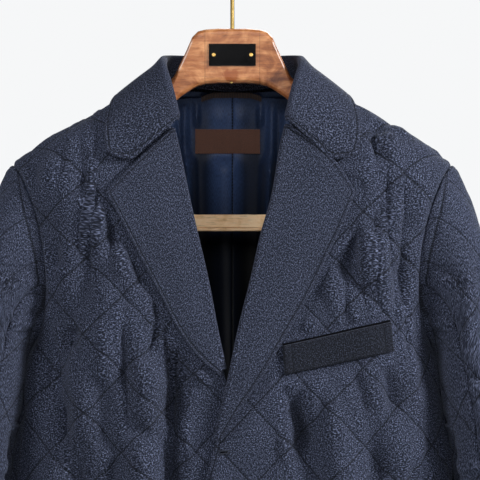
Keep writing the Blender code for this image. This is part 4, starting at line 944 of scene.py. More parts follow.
build_front("quilted_left_front", 1, LEFT_ROLL, LEFT_EDGE, LEFT_FOLDS, LEFT_QUILT, left_calm,
            left_quilted, overlap_lift, left_drapes, ("front_left",))
build_front("quilted_right_front", -1, RIGHT_ROLL, RIGHT_EDGE, RIGHT_FOLDS, RIGHT_QUILT, right_calm,
            right_quilted, None, right_drapes, ("front_right",))

# %% [markdown]
# ## The back
# The back is two halves with a seam down the middle. It has the same construction as the fronts, with
# its own folds: the ones that fall from the shoulder blades towards the waist.

# %% The back halves
BACK_FOLDS = np.array((
    (150, -290, 120, -470, 18, 6.0), (-146, -280, -112, -460, 17, 6.5), (178, -330, 168, -560, 16, 5.0),
    (-180, -340, -172, -540, 18, 5.0), (60, -330, 70, -640, 24, 5.0), (-52, -300, -66, -600, 22, 5.5),
    (110, -560, 128, -850, 24, 7.0), (-104, -540, -124, -850, 26, 7.0), (30, -620, 34, -860, 20, 6.0),
    (-24, -650, -30, -860, 18, 5.0), (88, -400, 98, -640, 22, -5.0), (-86, -420, -92, -680, 22, -5.0),
    (186, -600, 196, -850, 20, 6.0), (-188, -620, -198, -850, 20, 6.0)), float)
NECK_ZONE = np.array(((-110, -100), (-110, -176), (110, -176), (110, -100)), float)
back_quilted = keep_flat(NECK_ZONE, 10.0)


def build_back(name, sign, node):
    """The neck edge and the centre seam are one line here, so the grid's first column follows both."""
    neck = flatten([(sign * 72, BACK_NECK + 5), (sign * 50, BACK_NECK + 1), (sign * 25, BACK_NECK)], 1)
    centre = np.array(((sign * SEAM, BACK_NECK), (sign * SEAM, HEM)), float)
    flat = panel_grid(np.vstack((neck, centre)), 1, sign, BACK_GRID)
    laid = lay(flat, 1, BACK_FOLDS, both(back_quilted, beside_seam(flat[:, -1])), None,
               lambda p: 0.5 * drapes(p, 37, length=30.0))
    quilted_panel(name, flat, laid, BACK_QUILT, back_quilted, node, flat[-1, ::4])


build_back("quilted_left_back", 1, ("back_left",))
build_back("quilted_right_back", -1, ("back_right",))

# %% [markdown]
# ## The sleeves
# A tailored sleeve is two pieces, a wide top one and a narrow under one, sewn into a bent tube. As a
# surface it is easiest to think of rings: ring 0 is the armhole itself, and each later one is an
# ellipse whose size, place and slope come from a table. The grid runs round the ring and down the arm.

# %% Sleeve rings
SLEEVE_COLUMNS = ("down", "outer_x", "outer_z", "inner_x", "inner_z", "half_depth", "forward")
SLEEVE = np.array((
    (0.00, 229, -236, 210, -414, 50, 0), (0.08, 240, -256, 211, -418, 56, 0),
    (0.18, 252, -286, 213, -424, 60, 2), (0.28, 267, -330, 217, -434, 61, 6),
    (0.38, 283, -388, 219.5, -454, 60, 16), (0.50, 301, -468, 227.5, -500, 58, 28),
    (0.64, 315, -568, 237, -582, 54, 35), (0.82, 328, -712, 248, -718, 47, 41),
    (1.00, 336, -862, 257, -860, 40, 45)), float)
SLEEVE_SEAM_TURN = math.pi * 8 / 13
SLEEVE_AROUND = 340.0
UNDERARM_STANDS_OFF = 8.5
ARMHOLE_CREASE = 1.0
SLEEVE_TOP_QUILT = (0, -300)
SLEEVE_UNDER_QUILT = (0, -450)
SLEEVE_PUFF = 2.4
UNDER_FOLDS = np.array(((-20, -500, 10, -620, 14, 3.0), (15, -640, -10, -760, 14, 3.0)), float)
SLEEVE_FOLDS = np.array((
    (-10, -300, 60, -420, 14, 4.0), (50, -330, 72, -450, 14, 4.0), (-50, -340, -74, -460, 15, 4.0),
    (20, -480, 70, -560, 16, 4.0), (-30, -520, -80, -600, 16, 4.0), (30, -600, 75, -660, 18, 4.0),
    (-20, -640, -70, -700, 18, -3.5), (0, -720, 40, -800, 20, 3.5), (-44, -730, -30, -820, 18, 3.0)), float)


def sleeve(name, down):
    return through(down, SLEEVE[:, 0], SLEEVE[:, SLEEVE_COLUMNS.index(name)])


def sleeve_height(turn, down):
    outer, inner = sleeve("outer_z", down), sleeve("inner_z", down)
    return (outer + inner) / 2 + (outer - inner) / 2 * np.cos(turn)


def sleeve_ring(turn, down):
    """An ellipse with half axes reach_x and half_depth round the middle of the arm. Over the first
    fifth of the way down it is blended with the armhole's own curve."""
    middle_x = (sleeve("outer_x", down) + sleeve("inner_x", down)) / 2
    reach_x = (sleeve("outer_x", down) - sleeve("inner_x", down)) / 2
    x = middle_x + reach_x * np.cos(turn)
    y = -sleeve("half_depth", down) * np.sin(turn) - sleeve("forward", down)
    seam = armhole(turn)
    front, back = hang(flatten(seam, -1), -1)[..., 1], hang(flatten(seam, 1), 1)[..., 1]
    seam_y = np.where(np.sin(turn) >= 0, front, back)
    shift = SEAM + ARMHOLE_CREASE * np.abs(np.sin(turn))
    shift = shift + UNDERARM_STANDS_OFF * smooth_step((0.2 - np.cos(turn)) / 1.1) * \
        smooth_step(down / 0.05)
    blend = smooth_step(down / 0.2)
    return np.stack((
        (1 - blend) * (seam[..., 0] + shift) + blend * x,
        (1 - blend) * seam_y + blend * y,
        (1 - blend) * seam[..., 1] + blend * sleeve_height(turn, down)), axis=-1)


def sleeve_girth(down):
    reach_x = (sleeve("outer_x", down) - sleeve("inner_x", down)) / 2
    reach_z = (sleeve("outer_z", down) - sleeve("inner_z", down)) / 2
    return 4 * quarter_length(np.hypot(reach_x, reach_z), sleeve("half_depth", down))


def build_sleeve(name, centre, half_turn, sign, table, phase, length, node):
    u = dense_ends(half_turn / math.pi * SLEEVE_AROUND, 3.4)
    v = dense_ends(length, 3.6)
    turn, down = np.meshgrid(centre + (2 * u - 1) * half_turn, v)
    around = (turn - centre) / (2 * math.pi) * sleeve_girth(down)
    flat = np.stack((around, sleeve_height(turn, down)), axis=-1)
    here = sleeve_ring(turn, down)
    normal = grid_normals(here)
    away = np.stack((np.cos(turn), -np.sin(turn), np.zeros_like(turn)), axis=-1)
    way = math.copysign(1.0, float(np.sum(normal * away)))
    push = folds(flat, table) + 0.5 * drapes(flat[..., ::-1], 51 + len(table), length=34.0)
    push = push * smooth_step(v[:, None] * 8)
    here = here + way * normal * push[..., None]
    normal = way * grid_normals(here)
    mirror = np.array((sign, 1, 1))
    cuff = flat[-1]
    # the weave is measured along the cloth itself: steps across and down, summed
    steps = np.linalg.norm(np.diff(here, axis=1), axis=2)
    across = np.concatenate((np.zeros((len(v), 1)), np.cumsum(steps, axis=1)), axis=1)
    steps = np.linalg.norm(np.diff(here, axis=0), axis=2)
    lower = np.concatenate((np.zeros((1, len(u))), np.cumsum(steps, axis=0)), axis=0)
    cloth = np.stack((across, -lower), axis=-1)
    quilted_panel(name, flat, (here * mirror, normal * mirror), phase, None, node, cuff,
                  SLEEVE_PUFF, cloth)


for side, sign in (("left", 1), ("right", -1)):
    build_sleeve("quilted_%s_sleeve_top" % side, 0.0, SLEEVE_SEAM_TURN, sign, SLEEVE_FOLDS,
                 SLEEVE_TOP_QUILT, 640.0, ("sleeve_%s_top" % side,))
    build_sleeve("quilted_%s_sleeve_under" % side, math.pi, math.pi - SLEEVE_SEAM_TURN, sign,
                 UNDER_FOLDS, SLEEVE_UNDER_QUILT, 500.0, ("sleeve_%s_under" % side,))

# %% [markdown]
# ## The lapels
# A lapel is the front's own edge turned back, so its face is the facing cloth. In section it starts
# behind the front, rolls round the front's edge without a crease and lies over the chest. Rows of the
# grid run from the roll line to the outer edge, and the section at the roll is a short profile.

# %% Lapels
LAPEL_WALL = 3.0
# the section at the roll line: across and off for the inner face, then for the outer face
LAPEL_SECTION = np.array(((9.0, -0.8, 9.0, -3.6), (0.2, -0.8, -0.8, -3.6), (-0.9, 0.0, -3.4, -0.6),
                          (-0.9, 3.4, -3.4, 4.2), (0.2, 4.4, -0.8, 7.0)), float)
LAPEL_SECTION_BELOW = np.array(((-0.9, -0.6, -2.6, -1.8), (-0.9, -0.3, -3.2, -1.2),
                                (-0.9, 0.2, -3.4, -0.2), (-0.9, 3.4, -3.4, 4.2),
                                (0.2, 4.4, -0.8, 7.0)), float)
LAPEL_TUCK_ENDS = -440.0
LAPEL_ROLL_HEIGHT = 2.5
LAPEL_EDGE_LIFT = 2.2
LAPEL_ROWS = 130


def on_cloth(seen, side, table, calm, lift, off):
    """Points given as seen from the front, placed at a height off the hung cloth."""
    shape = seen.shape[:-1]
    flat = flatten(seen.reshape(-1, 2), side)
    towards = np.where(flat[:, :1] >= 0, -1.0, 1.0)
    here = hang(flat, side)
    across = (here - hang(flat + towards * np.array((FLAT_STEP, 0.0)), side)) * towards
    down = hang(flat - np.array((0.0, FLAT_STEP)), side) - here
    normal = np.cross(across, down) * -side
    normal /= np.maximum(np.linalg.norm(normal, axis=1, keepdims=True), 1e-9)
    push = folds(flat, table)
    if calm is not None:
        push = push * calm(flat)
    if lift is not None:
        push = push + lift(flat)
    return (here + normal * (push + off.ravel())[:, None]).reshape(*shape, 3)


def smooth_section(points, shares):
    """A smooth curve through evenly spaced points of a section, for every row at once."""
    places = np.linspace(0, 1, points.shape[1])
    flat = points.transpose(1, 0, 2).reshape(points.shape[1], -1)
    return through(shares, places, flat).reshape(len(shares), points.shape[0], -1).transpose(1, 0, 2)


def build_lapel(name, roll, edge, notch, table, lift, calm, node):
    rows = np.sort(np.concatenate((np.linspace(0, 1, LAPEL_ROWS), (0.0015, 0.004, 0.996, 0.9985))))
    start, finish = spline(roll, rows), spline(edge, rows)
    along = np.gradient(start, axis=0)
    square = np.stack((-along[:, 1], along[:, 0]), axis=1)
    square *= np.sign(edge[0][0]) / np.linalg.norm(square, axis=1, keepdims=True)
    run = finish - start
    width = np.linalg.norm(run, axis=1)
    aside = run / width[:, None]
    # the top edge is bent to pass through the notch
    top = run[0]
    target = np.array(notch, float)
    share = ((target - start[0]) @ top) / (top @ top)
    offset = (target - (start[0] + share * top)) / max(math.sin(share * math.pi), 0.3)
    fading = np.clip(1 - rows * 15 / 2.0, 0, 1)
    shares = np.linspace(0, 1, 12)[1:]
    tuck = smooth_step((start[:, 1] - LAPEL_TUCK_ENDS) / 40.0)[:, None, None]
    section = LAPEL_SECTION * tuck + LAPEL_SECTION_BELOW * (1 - tuck)
    spread = (0.2 + shares * (width[:, None] - 0.2))[..., None] * aside[:, None]
    bend = np.sin(shares * math.pi)[None, :, None] * offset * fading[:, None, None]
    roll_over = (LAPEL_ROLL_HEIGHT * np.minimum(1.0, width / 40.0))[:, None] * \
        np.sin(shares * math.pi) ** 2 + LAPEL_EDGE_LIFT * shares ** 4
    made = []
    for first, lift_off in ((0, 4.2), (2, 4.2 + LAPEL_WALL)):
        near = start[:, None] + section[:, :, first, None] * square[:, None]
        far = start[:, None] + spread + bend
        off = np.concatenate((section[:, :, first + 1], lift_off + roll_over), axis=1)
        whole = np.concatenate((np.concatenate((near, far), axis=1), off[..., None]), axis=2)
        whole = smooth_section(whole, LAPEL_STATIONS)
        made.append(on_cloth(whole[..., :2], -1, table, calm, lift, whole[..., 2]))
    # the lapel's own flat: across from the roll line, along the roll line
    length = float(np.sum(np.linalg.norm(np.diff(start, axis=0), axis=1)))
    across = np.clip((LAPEL_STATIONS - 4 / 15) / (11 / 15), 0, 1)[None] * width[:, None] - \
        12.0 * np.clip(1 - LAPEL_STATIONS * 15 / 4, 0, 1)[None]
    flat = np.stack((across, np.broadcast_to(rows[:, None] * length, across.shape)), axis=-1)
    near_top = rows[:, None] * length
    away = np.minimum(width[:, None] - across, near_top)
    along = np.where(width[:, None] - across < near_top, flat[..., 1], across)
    inner, outer = made
    to_edge = np.minimum(away, (1 - rows[:, None]) * length)
    stands = rounded(to_edge, PLAIN_EDGE) + groove(away) / LAPEL_WALL
    outer = inner + (outer - inner) * stands[..., None]
    maps = {"cloth": flat * MM, "edge": np.stack((away, along), axis=-1) * MM}
    piece = wall(name, inner, outer, PLAIN_WOOL, maps, node)
    declare(piece, rim_of(flat))


LAPEL_STATIONS = np.concatenate((np.linspace(0, 4 / 15, 18)[:-1],
                                 4 / 15 + 11 / 15 * dense_ends(75.0, 2.2)))
build_lapel("left_lapel_facing", LEFT_LAPEL_ROLL, LEFT_LAPEL_EDGE, LEFT_NOTCH, LEFT_FOLDS,
            overlap_lift, left_calm, ("lapel_left",))
build_lapel("right_lapel_facing", RIGHT_LAPEL_ROLL, RIGHT_LAPEL_EDGE, RIGHT_NOTCH, RIGHT_FOLDS, None,
            right_calm, ("lapel_right",))

# %% [markdown]
# ## The collar
# The collar stands up inside, folds over and falls outside, all one shaped strip. Three curves run
# round the neck: the neck seam, the fold and the leaf edge. Each cross-section is a smooth line through
# eleven points that hang on those three curves.

# %% Collar
COLLAR_WALL = 3.0
COLLAR = np.array((
    (58, -42, -186, 56, -57, -187, 131, -62, -221), (63, -38, -170, 61, -51, -166, 133, -52, -205),
    (67, -33, -158, 66, -42, -147, 131, -34, -182), (74, -20, -149, 71, -28, -131, 125, -12, -166),
    (77, -2, -146, 71, -8, -124, 119, 8, -161), (70, 17, -147, 65, 17, -122, 108, 32, -166),
    (50, 27, -150, 50, 34, -122, 88, 50, -174), (28, 33, -153, 28, 43, -123, 50, 58, -179),
    (0, 35, -155, 0, 46, -124, 0, 60, -181)), float)
COLLAR_FALL = np.array((0.14, 0.36, 0.58, 0.79, 1.0))
COLLAR_END_DROP = np.array((3.0, 10.5, 18.5, 12.5, -1.5))
COLLAR_LENGTH = 560.0
COLLAR_DEPTH = 92.0
COLLAR_END = 40.0
GORGE_STATION = 0.84


def build_collar():
    """Station by station: stand points between neck seam and fold, three crest points just outside the
    fold, then fall points to the leaf, swollen by a half sine."""
    half = COLLAR.reshape(len(COLLAR), 3, 3)
    whole = np.concatenate((half * np.array((-1, 1, 1)), half[-2::-1]))
    s = dense_ends(COLLAR_LENGTH, 3.4)
    neck, fold, leaf = (spline(whole[:, k], s) for k in range(3))
    out = fold - np.array((0.0, -6.0, -140.0))
    out[:, 2] = 0
    out /= np.linalg.norm(out, axis=1, keepdims=True)
    out = out[:, None]
    up = np.array((0.0, 0.0, 1.0))
    stand = neck[:, None] + np.array((0.0, 0.45, 0.85))[:, None] * (fold - neck)[:, None]
    crest = fold[:, None] + np.array((0.0, 1.8, 3.6))[:, None] * out + \
        np.array((0.6, 1.6, 0.2))[:, None] * up
    start = fold[:, None] + 4.4 * out - 2.0 * up
    fall = start + COLLAR_FALL[:, None] * (leaf[:, None] - start)
    fall = fall + (np.sin(COLLAR_FALL * math.pi) * 2.0)[:, None] * (out + up) / 2
    from_end = np.minimum(s, 1 - s) * COLLAR_LENGTH
    drop = COLLAR_END_DROP * (np.clip(1 - from_end / COLLAR_END, 0, 1) ** 1.5)[:, None]
    fall = fall - drop[..., None] * up
    stations = np.concatenate((np.linspace(0, 5 / 10, 22)[:-1], 0.5 + 0.5 * dense_ends(70.0, 2.4)))
    inner = smooth_section(np.concatenate((stand, crest, fall), axis=1), stations)
    normal = grid_normals(inner)
    if normal[len(s) // 2, -1, 1] < 0:
        normal = -normal
    flat = np.stack(np.meshgrid(stations * COLLAR_DEPTH, s * COLLAR_LENGTH), axis=-1)
    away_leaf = COLLAR_DEPTH * (1 - stations)[None] * 1.5
    away = np.minimum(away_leaf, from_end[:, None])
    along = np.where(away_leaf < from_end[:, None], flat[..., 1], flat[..., 0])
    stands = COLLAR_WALL * rounded(away, PLAIN_EDGE) + groove(away)
    # along the gorge seam, from the neck to the notch, the end is sewn down thin to the lapel
    gorge = smooth_step(1 - from_end / 9)[:, None] * \
        smooth_step((GORGE_STATION - stations) / 0.06)[None]
    stands = stands * (1 - 0.72 * gorge)
    outer = inner + normal * stands[..., None]
    maps = {"cloth": flat * MM, "edge": np.stack((away, along), axis=-1) * MM}
    piece = wall("collar_cloth", inner, outer, PLAIN_WOOL, maps, ("collar",))
    declare(piece, rim_of(flat))


build_collar()

# %% [markdown]
# ## The breast pocket's welt
# A welt is a folded strip, sewn along its foot and stitched at both ends, with the pocket's mouth
# behind its top edge. It lies on the quilted front, so it is laid from the same surface.

# %% Welt
WELT_WALL = 2.4
WELT_RISE = 1.2
MOUTH_WIDTH = 2.2


def build_welt():
    corners = WELT_SHAPE
    u, v = dense_ends(116.0, 2.4), dense_ends(31.0, 1.8)
    top = corners[0] + (corners[1] - corners[0]) * u[:, None]
    bottom = corners[3] + (corners[2] - corners[3]) * u[:, None]
    left = corners[0] + (corners[3] - corners[0]) * v[:, None]
    right = corners[1] + (corners[2] - corners[1]) * v[:, None]
    flat = patch(top, bottom, left, right, u, v)
    here, normal = lay(flat, -1, LEFT_FOLDS, left_calm, overlap_lift)
    away, _ = distance_to_line(flat, np.vstack((rim_of(flat), flat[:1, 0])))
    ends = np.minimum(*(distance_to_line(flat, line)[0] for line in (flat[:, 0], flat[:, -1])))
    _, along = distance_to_line(flat, flat[:, 0])
    low = QUILT_WALL + 0.2
    high = (QUILT_WALL + LAYER_GAP + WELT_WALL + WELT_RISE - low) * rounded(away, PLAIN_EDGE)
    high = high + groove(ends, 9.0, 0.9, 1.3)
    maps = {"cloth": flat * MM, "edge": np.stack((ends - 5.0, along), axis=-1) * MM}
    piece = wall("breast_pocket_welt", here + normal * low, here + normal * (low + high)[..., None],
                 WELT_WOOL, maps, ("pocket_welt",))
    # the pocket's mouth: a black strip of painted shade along the welt's top edge
    up = np.array((-0.22, 0.976)) * MOUTH_WIDTH
    mouth = front_strip("pocket_mouth", top - 0.3 * up, top + up, 0.5)
    declare(piece, rim_of(flat))


def front_strip(name, low, high, thick):
    """A narrow black strip of painted shade between two lines of flat points, on the face of the left front.
    """
    shares = np.linspace(0, 1, 4)[:, None, None]
    flat = low[None] + shares * (high - low)[None]
    here, normal = lay(flat, -1, LEFT_FOLDS, left_calm, overlap_lift, left_drapes)
    inner = here + normal * (QUILT_WALL - 0.2)
    return wall(name, inner, inner + normal * (thick + 0.2), SLIT_SHADE,
                {"cloth": flat * MM, "edge": np.ones(flat.shape)}, ())


build_welt()

# %% [markdown]
# ## Inside the neck
# The lining hangs free inside the back and is cut wider than it, so it falls in soft pleats. A woven
# label and a hanging loop are sewn on it. They are strips on the same surface, a little further off.

# %% Lining, label and loop
LINING_TOP = -161.0
LINING_BOTTOM = -480.0
# ridges of the lining: across, top, bottom, half width, how far it stands off
LINING_PLEATS = ((-66, -166, -480, 8, 10), (-51, -162, -250, 4, 6), (-38, -160, -196, 3.2, 5.5),
                 (-46, -214, -480, 6, 15), (-9, -216, -480, 15, 12), (30, -160, -205, 3.4, 6),
                 (42, -162, -260, 4.5, 7), (38, -216, -480, 6, 16), (60, -164, -480, 8, 11),
                 (8, -162, -192, 9, 2.5), (-14, -162, -192, 9, 2.5), (88, -170, -480, 9, 8),
                 (-88, -170, -480, 9, 8))
LABEL = ((-39, -219), (29, -219), (29, -194), (-39, -194))
LOOP = ((-33, -160.5), (31, -160.5), (31, -154.5), (-33, -154.5))
TAB_LENGTH = 11.0
LINING_WALL = 1.0


def lining_off(flat, clear):
    """Close to the back at the neck, free below it, and further in along each soft ridge."""
    off = 1.6 + 5.9 * smooth_step((LINING_TOP - flat[..., 1]) / 70)
    for place, high, low, half_width, stands in LINING_PLEATS:
        lean = place + 0.02 * (flat[..., 1] - high) * math.copysign(1, place)
        ridge = stands * np.exp(-np.abs((flat[..., 0] - lean) / half_width) ** 2.4)
        ends = smooth_step((high - flat[..., 1]) / 22) * smooth_step((flat[..., 1] - low) / 30 + 0.5)
        off = off + ridge * ends * clear
    return off


def inside_back(flat, off):
    here = hang(flat, 1)
    normal = grid_normals(here)
    turn = -1.0 if normal[..., 1].sum() > 0 else 1.0
    return here + turn * normal * off[..., None]


def lining_clear(flat):
    return keep_flat(LABEL, 5.0, 2.0)(flat) * keep_flat(LOOP, 5.0, 2.0)(flat)


def build_lining():
    across = np.unique(np.concatenate((np.linspace(-100, 100, 134), (-0.8, -0.4, 0, 0.4, 0.8))))
    heights = np.linspace(LINING_TOP, LINING_BOTTOM, 90)
    flat = np.stack(np.meshgrid(across, heights), axis=-1)
    off = lining_off(flat, lining_clear(flat)) - 0.7 * np.exp(-(flat[..., 0] / 0.9) ** 2)
    from_seam = np.abs(flat[..., 0]) + SEAM_STITCH
    maps = {"cloth": flat * MM, "edge": np.stack((from_seam, flat[..., 1]), axis=-1) * MM}
    piece = wall("back_lining", inside_back(flat, off), inside_back(flat, off + LINING_WALL),
                 LINING_SATIN, maps, ("lining_back",))
    return piece, rim_of(flat)


def build_strip(name, corners, thick, finish, node, curl, tabs=False):
    (left, low), (right, _), (_, high) = corners[0], corners[1], corners[2]
    u, v = dense_ends(right - left, 1.6, (0, 0.3, 0.8)), dense_ends(high - low, 1.2, (0, 0.3, 0.8))
    flat = np.stack(np.meshgrid(left + (right - left) * u, low + (high - low) * v), axis=-1)
    off = lining_off(flat, 0.0) + LINING_WALL + 0.4
    off = off + curl * smooth_step((flat[..., 0] - (right - 14)) / 14) ** 2
    off = off + 0.25 * ripple(flat, 22.0, 7)
    if tabs:
        # each end is turned under into a triangle that is wider than the ribbon
        near_end = np.clip(1 - np.minimum(flat[..., 0] - left, right - flat[..., 0]) / TAB_LENGTH, 0, 1)
        flat = flat - np.stack((np.zeros_like(near_end), near_end * 3.6), axis=-1)
        off = off + 0.9 * np.sign(near_end) + 1.0
    piece = wall(name, inside_back(flat, off), inside_back(flat, off + thick), finish,
                 {"cloth": flat * MM}, node)
    return piece, rim_of(flat)


back_lining, lining_rim = build_lining()
neck_label, label_rim = build_strip("woven_label", LABEL, 0.8, LABEL_WEAVE, ("label",), 2.2)
hanging_loop, _ = build_strip("hanging_loop_ribbon", LOOP, 0.9, LOOP_RIBBON, ("hanging_loop",), 0.0,
                              True)
declare(neck_label, label_rim)
# the loop is narrower than a sheet of its own may be, so it goes with the lining
declare(back_lining, lining_rim)

# %% [markdown]
# ## The hanger
# The hanger keeps the CAD shapes, which are already those of turned and sawn wood, and only takes better
# finishes. It is stained beech: long pale and dark streaks along the grain, short pores, and blotches
# where the stain went in unevenly. The bar is unstained. The hook and the screws are brass-plated
# steel, and the plate is black enamel, left bare.

# %% Wood, brass and enamel
GRAIN_PER_M = 110.0
PORES_PER_M = 900.0


def wood_material(name, dark, middle, pale, spot=None):
    made, tree, shader = new_material(name)
    place = add(tree, "ShaderNodeTexCoord").outputs["Object"]
    drawn = add(tree, "ShaderNodeMapping", {"Vector": place, "Rotation": (0, math.radians(4), 0),
                                            "Scale": (GRAIN_PER_M * 0.14, GRAIN_PER_M, GRAIN_PER_M)})
    streak = add(tree, "ShaderNodeTexNoise", {"Vector": drawn.outputs[0], "Scale": 1.0, "Detail": 6.0,
                                              "Roughness": 0.62, "Distortion": 0.7}).outputs["Fac"]
    blotch = add(tree, "ShaderNodeTexNoise", {"Vector": place, "Scale": 46.0, "Detail": 4.0,
                                              "Roughness": 0.6, "Distortion": 1.2}).outputs["Fac"]
    mixed = add(tree, "ShaderNodeMix", {0: 0.45, 2: streak, 3: blotch}).outputs[0]
    colour = add(tree, "ShaderNodeValToRGB", {"Fac": mixed}, stops=(
        (0.36, linear(dark)), (0.62, linear(pale)), (0.48, linear(middle)))).outputs["Color"]
    if spot is not None:
        # an old water stain: an ellipse with a ragged edge, given by its place and half widths in metres
        x, z, wide, tall = spot
        near = add(tree, "ShaderNodeMapping", {"Vector": place, "Location": (-x / wide, 0, -z / tall),
                                               "Scale": (1 / wide, 0.0, 1 / tall)})
        near = add(tree, "ShaderNodeVectorMath", {0: near.outputs[0]}, operation="LENGTH")
        near = add(tree, "ShaderNodeMath", {0: near.outputs["Value"], 1: blotch},
                   operation="ADD").outputs[0]
        wet = add(tree, "ShaderNodeMapRange", {"Value": near, "From Min": 1.5, "From Max": 1.25,
                                               "To Min": 0.0, "To Max": 0.8}).outputs["Result"]
        colour = add(tree, "ShaderNodeMix", {0: wet, 6: colour, 7: linear("#84400f")},
                     data_type="RGBA").outputs[2]
    pore_scale = (PORES_PER_M * 0.1, PORES_PER_M, PORES_PER_M)
    short = add(tree, "ShaderNodeMapping", {"Vector": place, "Scale": pore_scale})
    pores = add(tree, "ShaderNodeTexNoise", {"Vector": short.outputs[0], "Scale": 1.0, "Detail": 1.0})
    pit = add(tree, "ShaderNodeMapRange", {"Value": pores.outputs["Fac"], "From Min": 0.56,
                                           "From Max": 0.7, "To Min": 1.0, "To Max": 0.78})
    colour = add(tree, "ShaderNodeVectorMath", {0: colour, "Scale": pit.outputs["Result"]},
                 operation="SCALE").outputs["Vector"]
    gloss = add(tree, "ShaderNodeMapRange", {"Value": blotch, "To Min": 0.3, "To Max": 0.52})
    bump = add(tree, "ShaderNodeBump", {"Height": pit.outputs["Result"], "Strength": 0.35,
                                        "Distance": 0.15 * MM})
    feed(tree, shader, {"Base Color": colour, "Roughness": gloss.outputs["Result"],
                        "Normal": bump.outputs["Normal"], "Coat Weight": 0.25,
                        "Coat Roughness": 0.25})
    return made


def worn_material(name, dark, pale, rough, metallic, marks_per_m, stretch):
    """A hard finish with fine marks: metal where metallic is 1, else enamel or horn."""
    made, tree, shader = new_material(name)
    place = add(tree, "ShaderNodeTexCoord").outputs["Object"]
    drawn = add(tree, "ShaderNodeMapping", {"Vector": place, "Scale": stretch})
    marks = add(tree, "ShaderNodeTexNoise", {"Vector": drawn.outputs[0], "Scale": marks_per_m,
                                             "Detail": 4.0, "Roughness": 0.6}).outputs["Fac"]
    colour = add(tree, "ShaderNodeValToRGB", {"Fac": marks},
                 stops=((0.35, linear(dark)), (0.65, linear(pale)))).outputs["Color"]
    gloss = add(tree, "ShaderNodeMapRange", {"Value": marks, "To Min": rough * 0.7,
                                             "To Max": rough * 1.4})
    bump = add(tree, "ShaderNodeBump", {"Height": marks, "Strength": 0.1, "Distance": 0.05 * MM})
    feed(tree, shader, {"Base Color": colour, "Roughness": gloss.outputs["Result"],
                        "Normal": bump.outputs["Normal"], "Metallic": metallic})
    return made


STAIN_SPOT = (-0.001, -0.139, 0.0095, 0.0075)
STAINED_BEECH = wood_material("stained beech", "#663214", "#985c33", "#c48a5b", STAIN_SPOT)
PALE_BEECH = wood_material("varnished beech", "#d2a26c", "#eec494", "#f8d9b0")
BRASS = worn_material("brass plated steel", "#7d6a3c", "#ab935c", 0.42, 1.0, 400.0, (1, 1, 0.2))
SCREW_BRASS = worn_material("polished brass", "#dcab50", "#ffdf92", 0.55, 1.0, 500.0, (1, 1, 1))
ENAMEL = worn_material("black enamel", "#030304", "#09090b", 0.12, 0.0, 90.0, (1, 1, 1))
HORN = worn_material("polished buffalo horn", "#0e0c0d", "#3a302b", 0.24, 0.0, 120.0, (1, 1, 0.4))
FINISHES = {"hanger_head": STAINED_BEECH, "hanger_arm_left": STAINED_BEECH,
            "hanger_arm_right": STAINED_BEECH, "bar_post_left": STAINED_BEECH,
            "bar_post_right": STAINED_BEECH, "trouser_bar": PALE_BEECH, "plate": ENAMEL,
            "plate_screw_left": SCREW_BRASS, "plate_screw_right": SCREW_BRASS, "hook": BRASS}
for node, finish in FINISHES.items():
    for place in frame["nodes"][node].material_slots:
        place.material = finish
print("hanger finishes on", len(FINISHES), "nodes")

# %% The glue lines of the hanger
GLUE_HALF = 0.14
GLUE_SUNK = 0.35


def build_glue_line(name, sign):
    """The head's end face, taken from its box and pulled in a little: a thin dark sheet of glue."""
    points = np.array([v.co[:] for v in frame["nodes"]["hanger_head"].data.vertices]) / MM
    end = points[points[:, 0] * sign > (points[:, 0] * sign).max() - 0.05]
    end = np.unique(np.round(end, 2), axis=0)
    centre = end.mean(axis=0)
    end = end[np.argsort(np.arctan2(end[:, 2] - centre[2], end[:, 1] - centre[1]))]
    away = end - centre
    ring = centre + away * (1 - GLUE_SUNK / np.linalg.norm(away[:, 1:], axis=1))[:, None]
    ring[:, 0] = end[0, 0] + sign * (0.15 - GLUE_HALF)
    other = ring + (sign * 2 * GLUE_HALF, 0, 0)
    middle = np.repeat(centre[None], len(ring), axis=0)
    middle[:, 0] = ring[0, 0]
    grid = np.stack((middle, ring, other, middle + (sign * 2 * GLUE_HALF, 0, 0)))
    line = mesh_from(name, grid.reshape(-1, 3), ring_quads(*grid.shape[:2]), GLUE, merged=True)
    return attach(line)


GLUE = worn_material("dark hide glue", "#1c0f08", "#3a2114", 0.6, 0.0, 300.0, (1, 1, 1))
build_glue_line("glue_line_left", 1)
build_glue_line("glue_line_right", -1)

# %% [markdown]
# ## Buttons and buttonhole
# A horn button is turned on a lathe: a rim, a dished middle and four drilled holes. The holes are sunk
# into the turned face with a steep bell curve, which keeps the mesh one simple grid. Two crossed
# loops of thread go through them and on into the cloth.

# %% Buttons
BUTTON_PROFILE = np.array(((0, 0), (9.4, 0), (10.7, 0.7), (11, 1.8), (10.7, 2.9), (9.9, 3.4), (9.0, 3.3),
                           (8.1, 2.7), (6.8, 2.35), (5.2, 2.3), (4.2, 2.3), (3.6, 2.3), (3.1, 2.3),
                           (2.7, 2.3), (2.3, 2.3), (1.9, 2.3), (1.4, 2.3), (0.9, 2.3), (0.4, 2.3),
                           (0, 2.3)), float)
HOLE_SPREAD = 1.9
HOLE_RADIUS = 0.95
HOLE_DEPTH = 1.9
FIRST_SUNK_ROW = 8
BUTTON_SIDES = 56
THREAD_RADIUS = 0.42
THREAD_HIGH = 5.8
THREAD_FOOT = 3.2


